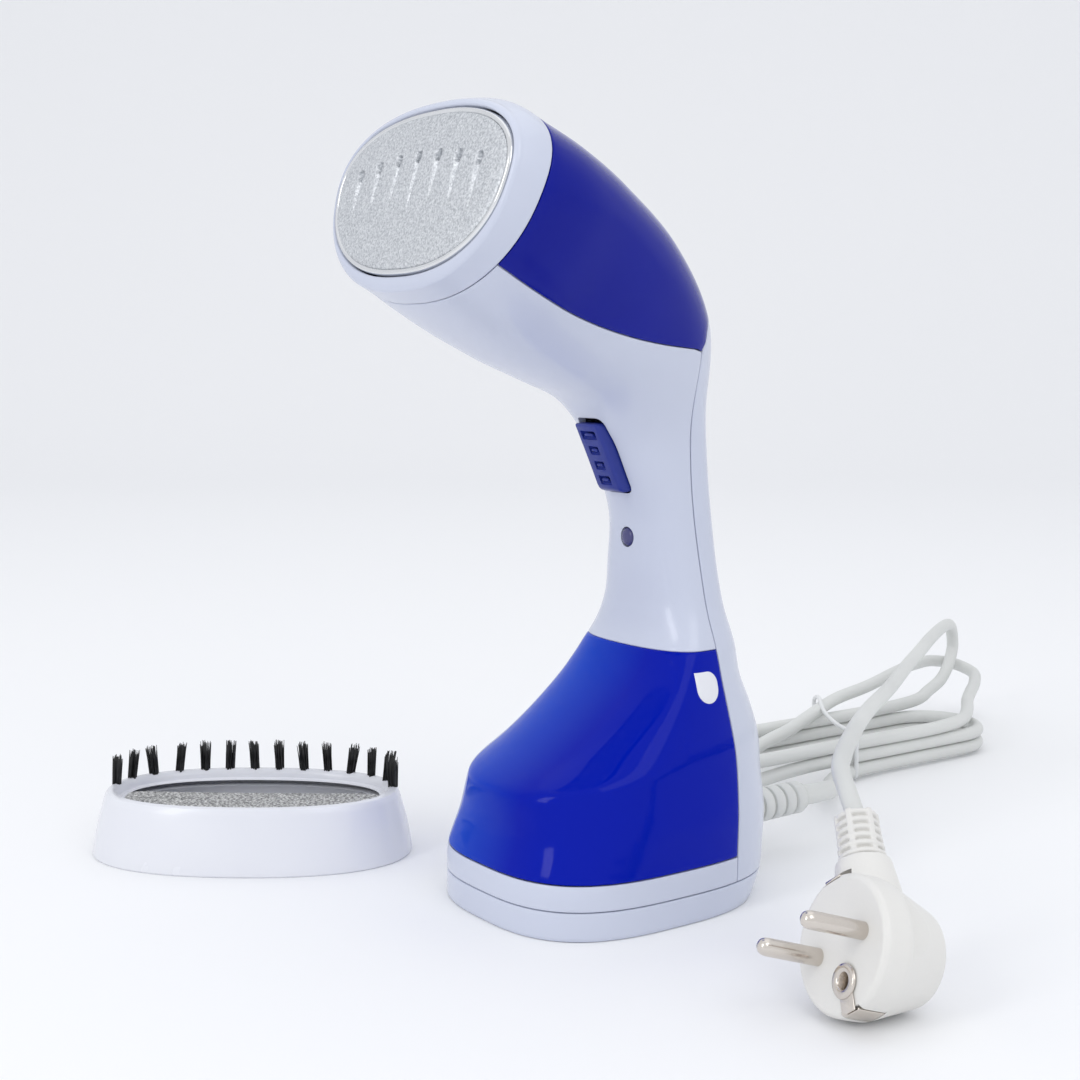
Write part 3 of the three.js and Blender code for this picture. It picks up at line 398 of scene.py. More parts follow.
def bake(piece, sharp=35):
    """Apply the piece's modifiers and mark edges sharper than `sharp` degrees."""
    graph = bpy.context.evaluated_depsgraph_get()
    data = bpy.data.meshes.new_from_object(piece.evaluated_get(graph))
    piece.modifiers.clear()
    piece.data = data
    mesh = bmesh.new()
    mesh.from_mesh(data)
    bmesh.ops.remove_doubles(mesh, verts=mesh.verts, dist=0.002 * MM)
    bmesh.ops.recalc_face_normals(mesh, faces=mesh.faces)
    mesh.to_mesh(data)
    mesh.free()
    data.shade_smooth()
    data.set_sharp_from_angle(angle=math.radians(sharp))
    return piece


def finish_piece(piece, body, slot, material, *nodes):
    piece.data.materials.clear()
    piece.data.materials.append(material)
    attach(piece, body)
    if nodes:
        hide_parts(*nodes)
    return piece


def add_modifier(piece, kind, **values):
    modifier = piece.modifiers.new(kind.lower(), kind)
    for key, value in values.items():
        setattr(modifier, key, value)
    return modifier


def thicken(piece):
    """Give a patch of skin its wall, inwards, and round its edges."""
    add_modifier(piece, "SOLIDIFY", thickness=WALL * MM, offset=-1, use_even_offset=True)
    add_modifier(piece, "BEVEL", width=WALL_EDGE * MM, segments=3, limit_method="ANGLE",
                 angle_limit=math.radians(50), use_clamp_overlap=True)
    return bake(piece)


def round_edges(piece, width, angle, sharp=35):
    """Bevel the edges sharper than `angle` degrees."""
    add_modifier(piece, "BEVEL", width=width * MM, segments=4, limit_method="ANGLE",
                 angle_limit=math.radians(angle))
    return bake(piece, sharp)


def cut_with(piece, *cutters):
    for cutter in cutters:
        add_modifier(piece, "BOOLEAN", object=cutter, operation="DIFFERENCE", solver="EXACT")
        bake(piece)
    for cutter in cutters:
        bpy.data.objects.remove(cutter)
    return piece


def fuse(piece, others, voxel, smooth_steps):
    """Union by voxel remesh, which leaves small fillets where the shapes meet."""
    graph = bpy.context.evaluated_depsgraph_get()
    mesh = bmesh.new()
    for part in [piece, *others]:
        mesh.from_mesh(part.evaluated_get(graph).data)
    mesh.to_mesh(piece.data)
    mesh.free()
    for part in others:
        bpy.data.objects.remove(part)
    add_modifier(piece, "REMESH", mode="VOXEL", voxel_size=voxel * MM)
    add_modifier(piece, "SMOOTH", factor=0.5, iterations=smooth_steps)
    return bake(piece, 180)


def ring_faces(rings, count, closed=True, capped=False):
    """Four-sided faces between neighbouring rings of points."""
    faces = []
    for r in range(rings - 1):
        for i in range(count if closed else count - 1):
            j = (i + 1) % count
            faces.append((r * count + i, r * count + j, (r + 1) * count + j, (r + 1) * count + i))
    if capped:
        faces.append(tuple(reversed(range(count))))
        faces.append(tuple(range((rings - 1) * count, rings * count)))
    return faces


def ring_object(name, rings, torus=False):
    """A mesh through closed rings of points, capped, or with its last ring joined to its first."""
    count = len(rings[0])
    points = [p for ring in rings for p in ring]
    faces = ring_faces(len(rings), count, capped=not torus)
    if torus:
        last = (len(rings) - 1) * count
        faces += [(last + i, last + (i + 1) % count, (i + 1) % count, i) for i in range(count)]
    piece = mesh_object(name, points, faces)
    mesh = bmesh.new()
    mesh.from_mesh(piece.data)
    bmesh.ops.recalc_face_normals(mesh, faces=mesh.faces)
    mesh.to_mesh(piece.data)
    mesh.free()
    return piece


def lathe(name, profile, sides=48, axis="z"):
    """A turned shape about z or y, from (radius, height) pairs, with flat ends."""
    rings = []
    for radius, height in profile:
        ring = []
        for i in range(sides):
            turn = 2 * math.pi * i / sides
            a, b = radius * math.cos(turn), radius * math.sin(turn)
            ring.append((a, b, height) if axis == "z" else (b, height, a))
        rings.append(ring)
    return ring_object(name, rings)


def block(name, low, high, edge=0.0):
    x0, y0, z0 = low
    x1, y1, z1 = high
    rings = [[(x0, y0, z), (x1, y0, z), (x1, y1, z), (x0, y1, z)] for z in (z0, z1)]
    piece = ring_object(name, rings)
    if edge:
        add_modifier(piece, "BEVEL", width=edge * MM, segments=3, limit_method="NONE")
        bake(piece)
    return piece


def side_prism(name, outline, half_width):
    """An outline of (y, z) points, extruded to both sides of the middle plane."""
    return ring_object(name, [[(x, y, z) for y, z in outline] for x in (-half_width, half_width)])


def move_mesh(piece, matrix):
    """matrix is in millimetres."""
    scaled = matrix.copy()
    scaled.translation = matrix.translation * MM
    piece.data.transform(scaled)
    return piece


# ---------------------------------------------------------------- the body's skin
def section_at(place):
    row = min(int(place), LAST - 1)
    near = [SECTIONS[max(0, min(LAST, i))] for i in (row - 1, row, row + 1, row + 2)]
    return [catmull_rom(a, b, c, d, place - row) for a, b, c, d in zip(*near)]


def reach(along, side, power, c, s):
    return (abs(c / along) ** power + abs(s / side) ** power) ** (-1 / power)


def skin(place, angle, inset=0.0):
    """A point of the skin: angle 0 is the back, half a turn is the front."""
    (y, z, tilt, front, back, side, front_power, back_power, egg,
     slope, slope_side, blend) = section_at(place)
    c, s = math.cos(angle), math.sin(angle)
    along = front if c < 0 else back
    radius = reach(along, side, front_power if c < 0 else back_power, c, s)
    if c < 0 and blend > 0.01:
        sloped = reach(slope, slope_side, SLOPE_POWER, c, s)
        soften = max(blend - abs(radius - sloped), 0) / blend
        radius = min(radius, sloped) - soften ** 2 * blend / 4
    radius -= inset
    lean = math.radians(tilt)
    return Vector((radius * s * (1 + egg * radius * c / along), y + radius * c * math.cos(lean),
                   z + radius * c * math.sin(lean)))


def solve(function, low, high, steps=26):
    """Where a function changes sign between low and high."""
    start = function(low) > 0
    for _ in range(steps):
        middle = (low + high) / 2
        if (function(middle) > 0) == start:
            low = middle
        else:
            high = middle
    return (low + high) / 2


# The stretches of the body, in sections, where heights and the two seams of the head are looked for.
UPRIGHT_STRETCH = (0, 12)
TAIL_STRETCH = (12.6, 16.8)
BEZEL_STRETCH = (15, LAST)


def place_at(z):
    return solve(lambda place: section_at(place)[1] - z, *UPRIGHT_STRETCH)


PARTING = smooth_path([(0, y, z) for y, z in REAR_SEAM], 1)
PARTING += smooth_path([(0, y, z) for y, z in COVER_EDGE], 1)


def parting_angle(place):
    """Where the front and back halves of the body meet on a section."""
    y, z, tilt = section_at(place)[:3]
    lean = math.radians(tilt)
    along = Vector((0, math.cos(lean), math.sin(lean)))
    up = Vector((0, -math.sin(lean), math.cos(lean)))
    centre = Vector((0, y, z))
    heights = [(p - centre).dot(up) for p in PARTING]
    reached = None
    for k in range(len(PARTING) - 1):
        if heights[k] <= 0 < heights[k + 1]:
            share = -heights[k] / (heights[k + 1] - heights[k])
            reached = (PARTING[k].lerp(PARTING[k + 1], share) - centre).dot(along)
            break
    if reached is None:
        reached = (PARTING[-1] - centre).dot(along)
    return solve(lambda angle: (skin(place, angle) - centre).dot(along) - reached, 0.02, math.pi - 0.02)


PARTING_STEP = 0.05
PARTING_TABLE = [parting_angle(k * PARTING_STEP) for k in range(round(LAST / PARTING_STEP) + 1)]


def parting(place):
    spot = min(place / PARTING_STEP, len(PARTING_TABLE) - 1.001)
    row = int(spot)
    return PARTING_TABLE[row] + (PARTING_TABLE[row + 1] - PARTING_TABLE[row]) * (spot - row)


def half_angle(place, u, half):
    """The angle at u from -1 to 1 across the front or back half, half the seam's gap in from its edge."""
    seam = parting(place)
    gap = GAP / 2 / (skin(place, seam) - Vector((0, *section_at(place)[:2]))).length
    if half == "back":
        return u * (seam - gap)
    return math.pi - u * (math.pi - seam - gap)


def bezel_side(point):
    (y0, z0), (y1, z1) = BEZEL_SEAM
    return point.y - (y0 + (point.z - z0) * (y1 - y0) / (z1 - z0))


def tail_side(point):
    line = COVER_TAIL
    if point.z <= line[0][0]:
        return point.y - line[0][1]
    for (z0, y0), (z1, y1) in zip(line, line[1:]):
        if point.z <= z1:
            break
    return point.y - (y0 + (point.z - z0) * (y1 - y0) / (z1 - z0))


def skin_patch(name, half, low, high, columns, row_step=1.5):
    """A grid of the skin between two limits, each a function of u giving a place along the body."""
    us = [-1 + 2 * i / (columns - 1) for i in range(columns)]
    limits = [(low(u), high(u)) for u in us]
    longest = max((skin(b, half_angle(b, u, half)) - skin(a, half_angle(a, u, half))).length
                  for u, (a, b) in zip(us, limits))
    rows = max(4, round(longest / row_step))
    points = []
    for k in range(rows + 1):
        for u, (a, b) in zip(us, limits):
            place = a + (b - a) * k / rows
            points.append(skin(place, half_angle(place, u, half)))
    patch = mesh_object(name, points, ring_faces(rows + 1, columns, closed=False))
    middle = patch.data.polygons[len(patch.data.polygons) // 2]
    start, end = limits[columns // 2]
    outward = middle.center - Vector((0, *section_at(start / 2 + end / 2)[:2])) * MM
    if middle.normal.dot(outward) < 0:
        patch.data.flip_normals()
    return patch


def band_limit(z):
    place = place_at(z)
    return lambda u: place


def bezel_limit(half, offset):
    return lambda u: solve(lambda p: bezel_side(skin(p, half_angle(p, u, half))) - offset, *BEZEL_STRETCH)


def tail_limit(offset):
    return lambda u: solve(lambda p: tail_side(skin(p, half_angle(p, u, "back"))) - offset, *TAIL_STRETCH)


# ---------------------------------------------------------------- outer shells
ROUND = 128
FRONT_COLUMNS = 121
BACK_COLUMNS = 97
TANK_COLUMNS = 141
TANK_ROW_STEP = 1.2
SCREW_HEIGHTS = (96, 152)
LAMP_HEIGHT = 113.7


def full_ring(place, inset=0.0, lift=0.0):
    return [skin(place, -2 * math.pi * i / ROUND, inset) + Vector((0, 0, lift)) for i in range(ROUND)]


def make_base_cap():
    top = place_at(CAP_TOP - GAP / 2)
    rings = [full_ring(0, 3.2), full_ring(0, 1.1), full_ring(0, 0.35, 0.25), full_ring(0, 0, 1)]
    rings += [full_ring(top * k / 8) for k in range(2, 8)]
    rings += [full_ring(top, 0, -0.35), full_ring(top, 0.1, -0.1), full_ring(top, 0.4)]
    rings += [full_ring(top, WALL), full_ring(0, WALL, WALL)]
    cap = ring_object("base_cap_shell", rings)
    finish_piece(bake(cap), "body", "white_plastic", WHITE, "base_cap")


def make_shell(name, half, low, high):
    columns = FRONT_COLUMNS if half == "front" else BACK_COLUMNS
    return thicken(skin_patch(name, half, low, high, columns))


def make_base_band():
    band = make_shell("base_band_shell", "front", band_limit(CAP_TOP + GAP / 2),
                      band_limit(BAND_TOP - GAP / 2))
    finish_piece(band, "body", "white_plastic", WHITE, "base_band")


def make_rear_housing():
    housing = make_shell("rear_housing_shell", "back", band_limit(CAP_TOP + GAP / 2), tail_limit(GAP / 2))
    opening = lathe("opening", [(5.6, 40), (5.6, 70)], 48, "y")
    move_mesh(opening, Matrix.Translation((0, 0, EXIT.z)))
    screws = []
    for z in SCREW_HEIGHTS:
        hole = lathe("hole", [(3.4, 20), (3.4, 60)], 32, "y")
        screws.append(move_mesh(hole, Matrix.Translation((0, 0, z))))
    cut_with(housing, opening, *screws)
    finish_piece(housing, "body", "white_plastic", WHITE, "rear_housing")


def make_front_housing():
    housing = make_shell("front_housing_shell", "front", band_limit(TANK_TOP + GAP / 2),
                         bezel_limit("front", GAP / 2))
    window = side_prism("window", [(-20, 151.6), (-20, 127.9), (12, 127.9), (14, 151.6)], 6.4)
    round_edges(window, 2.2, 60)
    lamp = lathe("lamp", [(3.25, -10), (3.25, 20)], 40, "y")
    move_mesh(lamp, Matrix.Translation((0, 0, LAMP_HEIGHT)))
    cut_with(housing, window, lamp)
    finish_piece(housing, "body", "white_plastic", WHITE, "front_housing")


def make_top_cover():
    cover = make_shell("top_cover_shell", "back", tail_limit(-GAP / 2), bezel_limit("back", GAP / 2))
    finish_piece(cover, "body", "blue_plastic", BLUE, "top_cover")


def make_tank():
    """The tank: the skin's front, closed by a floor, a top and a rear wall on the seam."""
    tank = skin_patch("tank_shell", "front", band_limit(BAND_TOP + GAP / 2), band_limit(TANK_TOP - GAP / 2),
                      TANK_COLUMNS, TANK_ROW_STEP)
    mesh = bmesh.new()
    mesh.from_mesh(tank.data)
    weight = mesh.edges.layers.float.new("bevel_weight_edge")
    for edge in mesh.edges:
        if edge.is_boundary:
            edge[weight] = 1
    grid = list(mesh.verts)
    mesh.faces.new(grid[:TANK_COLUMNS])
    mesh.faces.new(grid[-TANK_COLUMNS:])
    for start in range(0, len(grid) - TANK_COLUMNS, TANK_COLUMNS):
        end = start + TANK_COLUMNS
        mesh.faces.new((grid[start], grid[end], grid[end + TANK_COLUMNS - 1], grid[end - 1]))
    bmesh.ops.recalc_face_normals(mesh, faces=mesh.faces)
    mesh.to_mesh(tank.data)
    mesh.free()
    add_modifier(tank, "BEVEL", width=0.5 * MM, segments=3, limit_method="WEIGHT")
    bake(tank)
    finish_piece(tank, "tank", "tank_plastic", TANK, "water_tank")


# ---------------------------------------------------------------- the head
HEAD = Matrix.Translation(PLATE_CENTRE) @ Matrix.Rotation(math.pi / 2 - PLATE_LEAN, 4, "X")
BEZEL_END = 19.65
PLATE_MARGIN = 1.9


def plate_point(angle, margin, depth, share=1.0):
    """A point in the head's frame on the plate's outline, angle 0 at its top."""
    c, s = math.cos(angle), math.sin(angle)
    half_height, half_width = PLATE_HALF_HEIGHT - margin, PLATE_HALF_WIDTH - margin
    radius = reach(half_height, half_width, PLATE_POWER, c, s) * share
    return Vector((radius * s * (1 + PLATE_EGG * radius * c / half_height), radius * c, depth))


def make_bezel():
    into_head = HEAD.inverted()
    angles = [-2 * math.pi * i / ROUND for i in range(ROUND)]
    seam = [solve(lambda p: bezel_side(skin(p, angle)) + GAP / 2, *BEZEL_STRETCH) for angle in angles]

    def skin_ring(share, inset=0.0):
        return [skin(p + (BEZEL_END - p) * share, a, inset) for p, a in zip(seam, angles)]

    rings = [skin_ring(0, WALL), skin_ring(0, 0.4), skin_ring(0.008, 0.1), skin_ring(0.03)]
    rings += [skin_ring(k / 12) for k in range(1, 13)]
    edge = [into_head @ p for p in rings[-1]]
    lip = [plate_point(a, -GAP - 0.4, -0.2) for a in angles]
    for k in range(1, 9):
        turn = k / 8 * math.pi / 2
        ring = []
        for a, b in zip(edge, lip):
            flat = a.lerp(b, 1 - math.cos(turn))
            flat.z = a.z + (b.z - a.z) * math.sin(turn)
            ring.append(HEAD @ flat)
        rings.append(ring)
    rings.append([HEAD @ plate_point(a, -GAP, -0.6) for a in angles])
    rings.append([HEAD @ plate_point(a, -GAP, -5) for a in angles])
    bezel = ring_object("bezel_shell", rings, torus=True)
    finish_piece(bake(bezel, 50), "body", "white_plastic", WHITE, "head_bezel")


VENT_SPACING = 10.7
VENTS = [(k * VENT_SPACING, 10 - 3 * (k / 3) ** 2) for k in range(-3, 4)]
VENT_RADIUS = 1.8
VENT_SLOPE = 0.45
VENT_DEPTH = 2.6
GROOVE_LENGTH = 15
GROOVE_DEPTH = 1.1


def vent_depth(x, y):
    """How deep the plate's face lies at a point: a round hole with a groove that tapers away below it."""
    deepest = 0.0
    for vx, vy in VENTS:
        below = vy - y
        if -3 < below < GROOVE_LENGTH + 1 and abs(x - vx) < 3:
            hole = VENT_RADIUS - math.hypot(x - vx, y - vy)
            deepest = max(deepest, min(1.0, max(0.0, hole / VENT_SLOPE)) * VENT_DEPTH)
            share = 1 - below / GROOVE_LENGTH
            if 0 < share < 1.1:
                width = 0.25 + 1.15 * share
                groove = max(0.0, 1 - (abs(x - vx) / width) ** 2)
                deepest = max(deepest, groove * GROOVE_DEPTH * share ** 0.7)
    return deepest


def make_plate():
    sides, rows = 560, 84
    rings = []
    for k in range(1, rows + 1):
        share = k / rows
        ring = []
        for i in range(sides):
            p = plate_point(-2 * math.pi * i / sides, PLATE_MARGIN, 0, share)
            crown = 1.15 * (1 - share ** 2.4) ** 0.5 if share < 1 else 0
            ring.append(HEAD @ Vector((p.x, p.y, 0.1 + crown - vent_depth(p.x, p.y))))
        rings.append(ring)
    back = [[HEAD @ plate_point(-2 * math.pi * i / sides, PLATE_MARGIN, -2.6, share) for i in range(sides)]
            for share in (1, 0.02)]
    face = ring_object("plate_face", rings + back)
    finish_piece(bake(face, 60), "body", "cast_aluminium", CAST, "sole_plate")


def make_plate_rim():
    """Polished edge round the plate's face."""
    profile = [(2.0, -0.4), (1.75, 0.05), (1.2, 0.3), (0.6, 0.1), (0.25, -0.5), (0.2, -3), (2.0, -3)]
    rings = [[HEAD @ plate_point(-2 * math.pi * i / ROUND, margin, depth) for i in range(ROUND)]
             for margin, depth in profile]
    rim = ring_object("plate_rim", rings, torus=True)
    finish_piece(bake(rim, 50), "body", "cast_aluminium", RIM)


# ---------------------------------------------------------------- trigger, lamp and stopper
# Half width, half height, y and z of each slot in the trigger's face.
TRIGGER_SLOTS = [(3.6, 1.1, -4.7, 146.2), (2.4, 1.1, -2.4, 141.4), (2.4, 1.1, -0.2, 136.7),
                 (2.8, 1.2, 2.0, 132)]
TRIGGER_LEAN = math.atan2(7.6, 17)


def make_trigger():
    outline = [(-6.6, 149.9), (-5.4, 147.7), (-4.1, 144.9), (-2.7, 142), (-1.2, 138.8), (0.6, 134.9),
               (2.6, 130.4), (3.4, 128.9), (5.4, 128.3), (9, 128.6), (8, 133), (5.4, 138), (2, 145),
               (-1, 150.2)]
    pad = round_edges(side_prism("trigger_pad", outline, 5.9), 1.3, 30, 60)
    cutters = []
    for half_width, half_height, y, z in TRIGGER_SLOTS:
        slot = block("slot", (-half_width, -1.3, -half_height), (half_width, 1.3, half_height), 0.4)
        move_mesh(slot, Matrix.Translation((0, y, z)) @ Matrix.Rotation(-TRIGGER_LEAN, 4, "X"))
        cutters.append(slot)
    cut_with(pad, *cutters)
    for half_width, half_height, y, z in TRIGGER_SLOTS:
        rib = block("trigger_rib", (-half_width * 0.55, -1, -0.4), (half_width * 0.55, 1, 0.4), 0.25)
        move_mesh(rib, Matrix.Translation((0, y + 0.7, z)) @ Matrix.Rotation(-TRIGGER_LEAN, 4, "X"))
        finish_piece(rib, "trigger", "trigger_plastic", TRIGGER)
    finish_piece(pad, "trigger", "trigger_plastic", TRIGGER, "trigger")


def make_lamp():
    profile = [(3, 15), (3, 11.2), (2.8, 10.7), (2.2, 10.2), (1.2, 9.95), (0.3, 9.9)]
    lens = move_mesh(lathe("lamp_dome", profile, 40, "y"), Matrix.Translation((0, 0, LAMP_HEIGHT)))
    finish_piece(bake(lens, 60), "body", "lamp_plastic", LAMP, "lamp_lens")


def skin_side(y, z):
    """The point of the skin's +X side at a height and depth."""
    place = place_at(z)
    return skin(place, solve(lambda angle: skin(place, angle).y - y, 0.05, math.pi - 0.05))


def make_stopper():
    """The D-shaped filler stopper: straight at its upper front, round at its back and bottom."""
    centre = Vector((0, 18.8, 69.6))
    size = 4.5
    outline = [(-size, size), (-size, -0.8)]
    outline += [(size * math.cos(a), -0.8 + size * math.sin(a)) for a in
                (math.pi + math.pi * k / 20 for k in range(1, 20))]
    outline += [(size, -0.8), (size, 0.6)]
    outline += [(0.6 + (size - 0.6) * math.cos(a), 0.6 + (size - 0.6) * math.sin(a)) for a in
                (math.pi / 2 * k / 10 for k in range(1, 11))]
    rings = []
    for share, lift in [(0.985, -1.6), (0.985, -0.1), (0.96, 0.18), (0.9, 0.3), (0.6, 0.32), (0.2, 0.32)]:
        ring = []
        for dy, dz in outline:
            p = skin_side(centre.y + dy * share, centre.z + dz * share)
            ring.append(p + Vector((lift, 0, 0)))
        rings.append(ring)
    stopper = ring_object("stopper_cap", rings)
    finish_piece(bake(stopper, 50), "stopper", "white_plastic", BRUSH_WHITE, "filler_stopper")


# ---------------------------------------------------------------- strain relief
def make_strain_relief():
    profile = [(7.2, -5.5), (7.2, -3), (5.3, -3), (5.3, 0.6)]
    for rib in range(7):
        start = 0.8 + rib * 5.1
        radius = 6.2 - rib * 0.1
        profile += [(radius - 0.3, start), (radius, start + 0.4), (radius, start + 3.5)]
        profile += [(radius - 0.3, start + 3.9), (4.5, start + 4.1), (4.5, start + 4.9)]
    profile += [(4.7, 36.8), (3.6, 37.4), (3.4, 50.8), (3.2, SLEEVE_LENGTH - 0.2), (2.8, SLEEVE_LENGTH)]
    sleeve = move_mesh(lathe("strain_relief_sleeve", profile, 48, "y"), Matrix.Translation(EXIT))
    finish_piece(bake(sleeve, 40), "body", "lead_plastic", LEAD, "strain_relief")


# ---------------------------------------------------------------- plug
PLUG_FACE = Vector((118.4, -12, 20.5))
PLUG_PINS = Vector((-0.2, -0.93, 0.305)).normalized()
PLUG_SIDE = Vector((-0.57, 0.36, 0.735)).normalized().cross(PLUG_PINS).normalized()
PLUG_UP = PLUG_PINS.cross(PLUG_SIDE)
PLUG_FRAME = Matrix.Translation(PLUG_FACE) @ Matrix((PLUG_SIDE, PLUG_UP, PLUG_PINS)).transposed().to_4x4()
LEAD_DEPTH = -12
PIN_SPACING = 19
EARTH_OFFSET = -10


def make_plug_body():
    core = lathe("plug_core", [(9, -27), (13, -24), (18, -10), (18.6, -8), (18.6, -1.4), (17.6, 0)], 96)
    neck = lathe("neck", [(9.4, 6), (9.0, 16), (7.6, 25)], 64, "y")
    move_mesh(neck, Matrix.Translation((0, 0, LEAD_DEPTH)))
    cutters = [block("grip", (side * 20 - 4.2, -9, -22), (side * 20 + 4.2, 9, -9), 1) for side in (-1, 1)]
    cutters += [block("clip_recess", (-3.6, side * 18.8 - 1.7, -9), (3.6, side * 18.8 + 1.7, 3))
                for side in (-1, 1)]
    earth_hole = lathe("earth_hole", [(3.9, -5), (3.9, 3)], 40)
    cutters.append(move_mesh(earth_hole, Matrix.Translation((0, EARTH_OFFSET, 0))))
    fuse(core, [neck], 0.5, 6)
    cut_with(core, *cutters)
    move_mesh(core, PLUG_FRAME)
    return finish_piece(core, "body", "lead_plastic", PLUG, "plug_body")


def make_plug_boot():
    """Ribbed boot: short ribs in three columns between lengthwise bars."""
    start, end, rows = 25.3, 39, 6
    core = lathe("plug_boot_ribs", [(5.2, start), (4.4, end)], 48, "y")
    parts = []
    for k in range(rows):
        y = start + 0.9 + (end - start - 1.8) * k / (rows - 1)
        radius = 6.6 - 0.8 * k / (rows - 1)
        parts.append(lathe("rib", [(radius - 0.5, y - 0.75), (radius, y - 0.4), (radius, y + 0.4),
                                   (radius - 0.5, y + 0.75)], 48, "y"))
    for k in range(6):
        bar = block("bar", (-0.8, start, 4.2), (0.8, end, 6.1))
        parts.append(move_mesh(bar, Matrix.Rotation(math.pi / 3 * k + math.pi / 6, 4, "Y")))
    fuse(core, parts, 0.3, 2)
    move_mesh(core, PLUG_FRAME @ Matrix.Translation((0, 0, LEAD_DEPTH)))
    return finish_piece(core, "body", "lead_plastic", PLUG, "plug_boot")


def make_plug_metal():
    pins = []
    pin_profile = [(2.4, -5.6), (2.4, 16.4), (2.25, 17.4), (1.8, 18.3), (1.1, 18.85), (0.4, 19)]
    for k, side in enumerate((-1, 1)):
        pin = lathe(f"pin_{k + 1}", pin_profile, 40)
        move_mesh(pin, PLUG_FRAME @ Matrix.Translation((side * PIN_SPACING / 2, 0, 0)))
        pins.append(finish_piece(bake(pin, 60), "body", "nickel", NICKEL, f"plug_pin_{k + 1}"))
    profile = [(2.2, -4.6), (3.7, -4.6), (3.7, 0.3), (4.6, 0.3), (4.6, 0.7), (4.2, 1.1), (2.6, 1.1),
               (2.2, 0.7)]
    rings = []
    for radius, height in profile:
        rings.append([(radius * math.cos(a), radius * math.sin(a), height) for a in
                      (2 * math.pi * i / 40 for i in range(40))])
    ring = ring_object("earth_ring", rings, torus=True)
    move_mesh(ring, PLUG_FRAME @ Matrix.Translation((0, EARTH_OFFSET, 0)))
    pins.append(finish_piece(bake(ring, 60), "body", "nickel", NICKEL, "earth_socket"))
    bracket = move_mesh(block("earth_bracket", (-2.6, -18.3, 0.15), (2.6, -13.8, 0.6), 0.2), PLUG_FRAME)
    pins.append(finish_piece(bracket, "body", "nickel", NICKEL))
    for k, side in enumerate((-1, 1)):
        clip = block(f"clip_{k + 1}", (-3, side * 18 - 0.4, -8.6), (3, side * 18 + 0.4, -0.4), 0.25)
        move_mesh(clip, PLUG_FRAME)
        pins.append(finish_piece(clip, "body", "nickel", NICKEL, f"earth_clip_{k + 1}"))
    return pins


# ---------------------------------------------------------------- brush attachment
BRUSH = Matrix.Translation((-106, -70, 0)) @ Matrix.Rotation(math.radians(52.7), 4, "Z")
BRUSH_HALF_LENGTH = 55
BRUSH_HALF_WIDTH = 33
BRUSH_HEIGHT = 22
BRUSH_FLARE = 4
DECK = 18.6


def oval(inset, z, count=ROUND):
    ring = []
    for i in range(count):
        turn = 2 * math.pi * i / count
        c, s = math.cos(turn), math.sin(turn)
        radius = reach(BRUSH_HALF_LENGTH - inset, BRUSH_HALF_WIDTH - inset, 2.3, c, s)
        ring.append(Vector((radius * c, radius * s, z)))
    return ring


def make_brush_frame():
    profile = [(0.5, 0), (0.05, 0.5), (0.1, 1.5)]
    profile += [(0.1 + BRUSH_FLARE * (k / 10) ** 1.3, 1.5 + (BRUSH_HEIGHT - 4) * k / 10) for k in range(1, 11)]
    profile += [(4.5, 20.7), (5.2, 21.7), (6.2, BRUSH_HEIGHT), (7.4, 21.9), (8.2, 21.2), (8.6, 20.2)]
    profile += [(8.8, DECK + 0.5), (9.4, DECK), (14, DECK), (24, DECK), (30.5, DECK)]
    profile += [(30.5, DECK - 2), (7.5, DECK - 2), (3, 8), (2.2, 0)]
    frame_piece = ring_object("brush_shell", [oval(inset, z) for inset, z in profile], torus=True)
    cutter = ring_object("window", [oval(11, 10), oval(11, 30)])
    keep = block("keep", (-70, -60, 0), (70, 3, 40))
    cut_with(cutter, keep)
    bake(frame_piece, 50)
    fill = ring_object("fill", [oval(29, DECK - 2), oval(29, DECK)])
    add_modifier(frame_piece, "BOOLEAN", object=fill, operation="UNION", solver="EXACT")
    bake(frame_piece, 50)
    bpy.data.objects.remove(fill)
    cut_with(frame_piece, cutter)
    move_mesh(frame_piece, BRUSH)
    finish_piece(frame_piece, "brush", "white_plastic", BRUSH_WHITE, "brush_frame")


def make_lint_pad():
    """A crowned pad of short pile, straight along the middle of the brush and curved in front."""
    columns, rows = 240, 64
    points = []
    for layer in (1, 0):
        for r in range(rows + 1):
            for i in range(columns + 1):
                u = -1 + 2 * i / columns
                x = u * (BRUSH_HALF_LENGTH - 11)
                depth = (BRUSH_HALF_WIDTH - 10.5) * max(0, 1 - abs(u) ** 2.3) ** (1 / 2.3)
                v = r / rows
                y = 1.2 - v * (depth + 1.2)
                edge = min(1, 6 * (1 - abs(u)), 7 * v + 0.02, 7 * (1 - v) + 0.02)
                crown = 1.5 * max(edge, 0) ** 0.5
                coarse = noise(Vector((x * 1.9, y * 1.9, 3))) * 0.35
                pile = coarse + noise(Vector((x * 4.1, y * 4.1, 9))) * 0.22
                z = DECK - 0.5 if layer == 0 else DECK + 0.2 + crown + pile * edge
                points.append((x, y, z))
    across = columns + 1
    count = across * (rows + 1)
    faces = ring_faces(rows + 1, across, closed=False)
    faces += [tuple(reversed([count + v for v in face])) for face in faces]
    border = list(range(across)) + [r * across + columns for r in range(1, rows + 1)]
    border += [rows * across + i for i in range(columns - 1, -1, -1)]
    border += [r * across for r in range(rows - 1, 0, -1)]
    for a, b in zip(border, border[1:] + border[:1]):
        faces.append((a, b, count + b, count + a))
    pad = mesh_object("lint_pile", points, faces)
    bake(pad, 180)
    move_mesh(pad, BRUSH)
    finish_piece(pad, "brush", "lint_fabric", LINT, "lint_pad")
    return pad


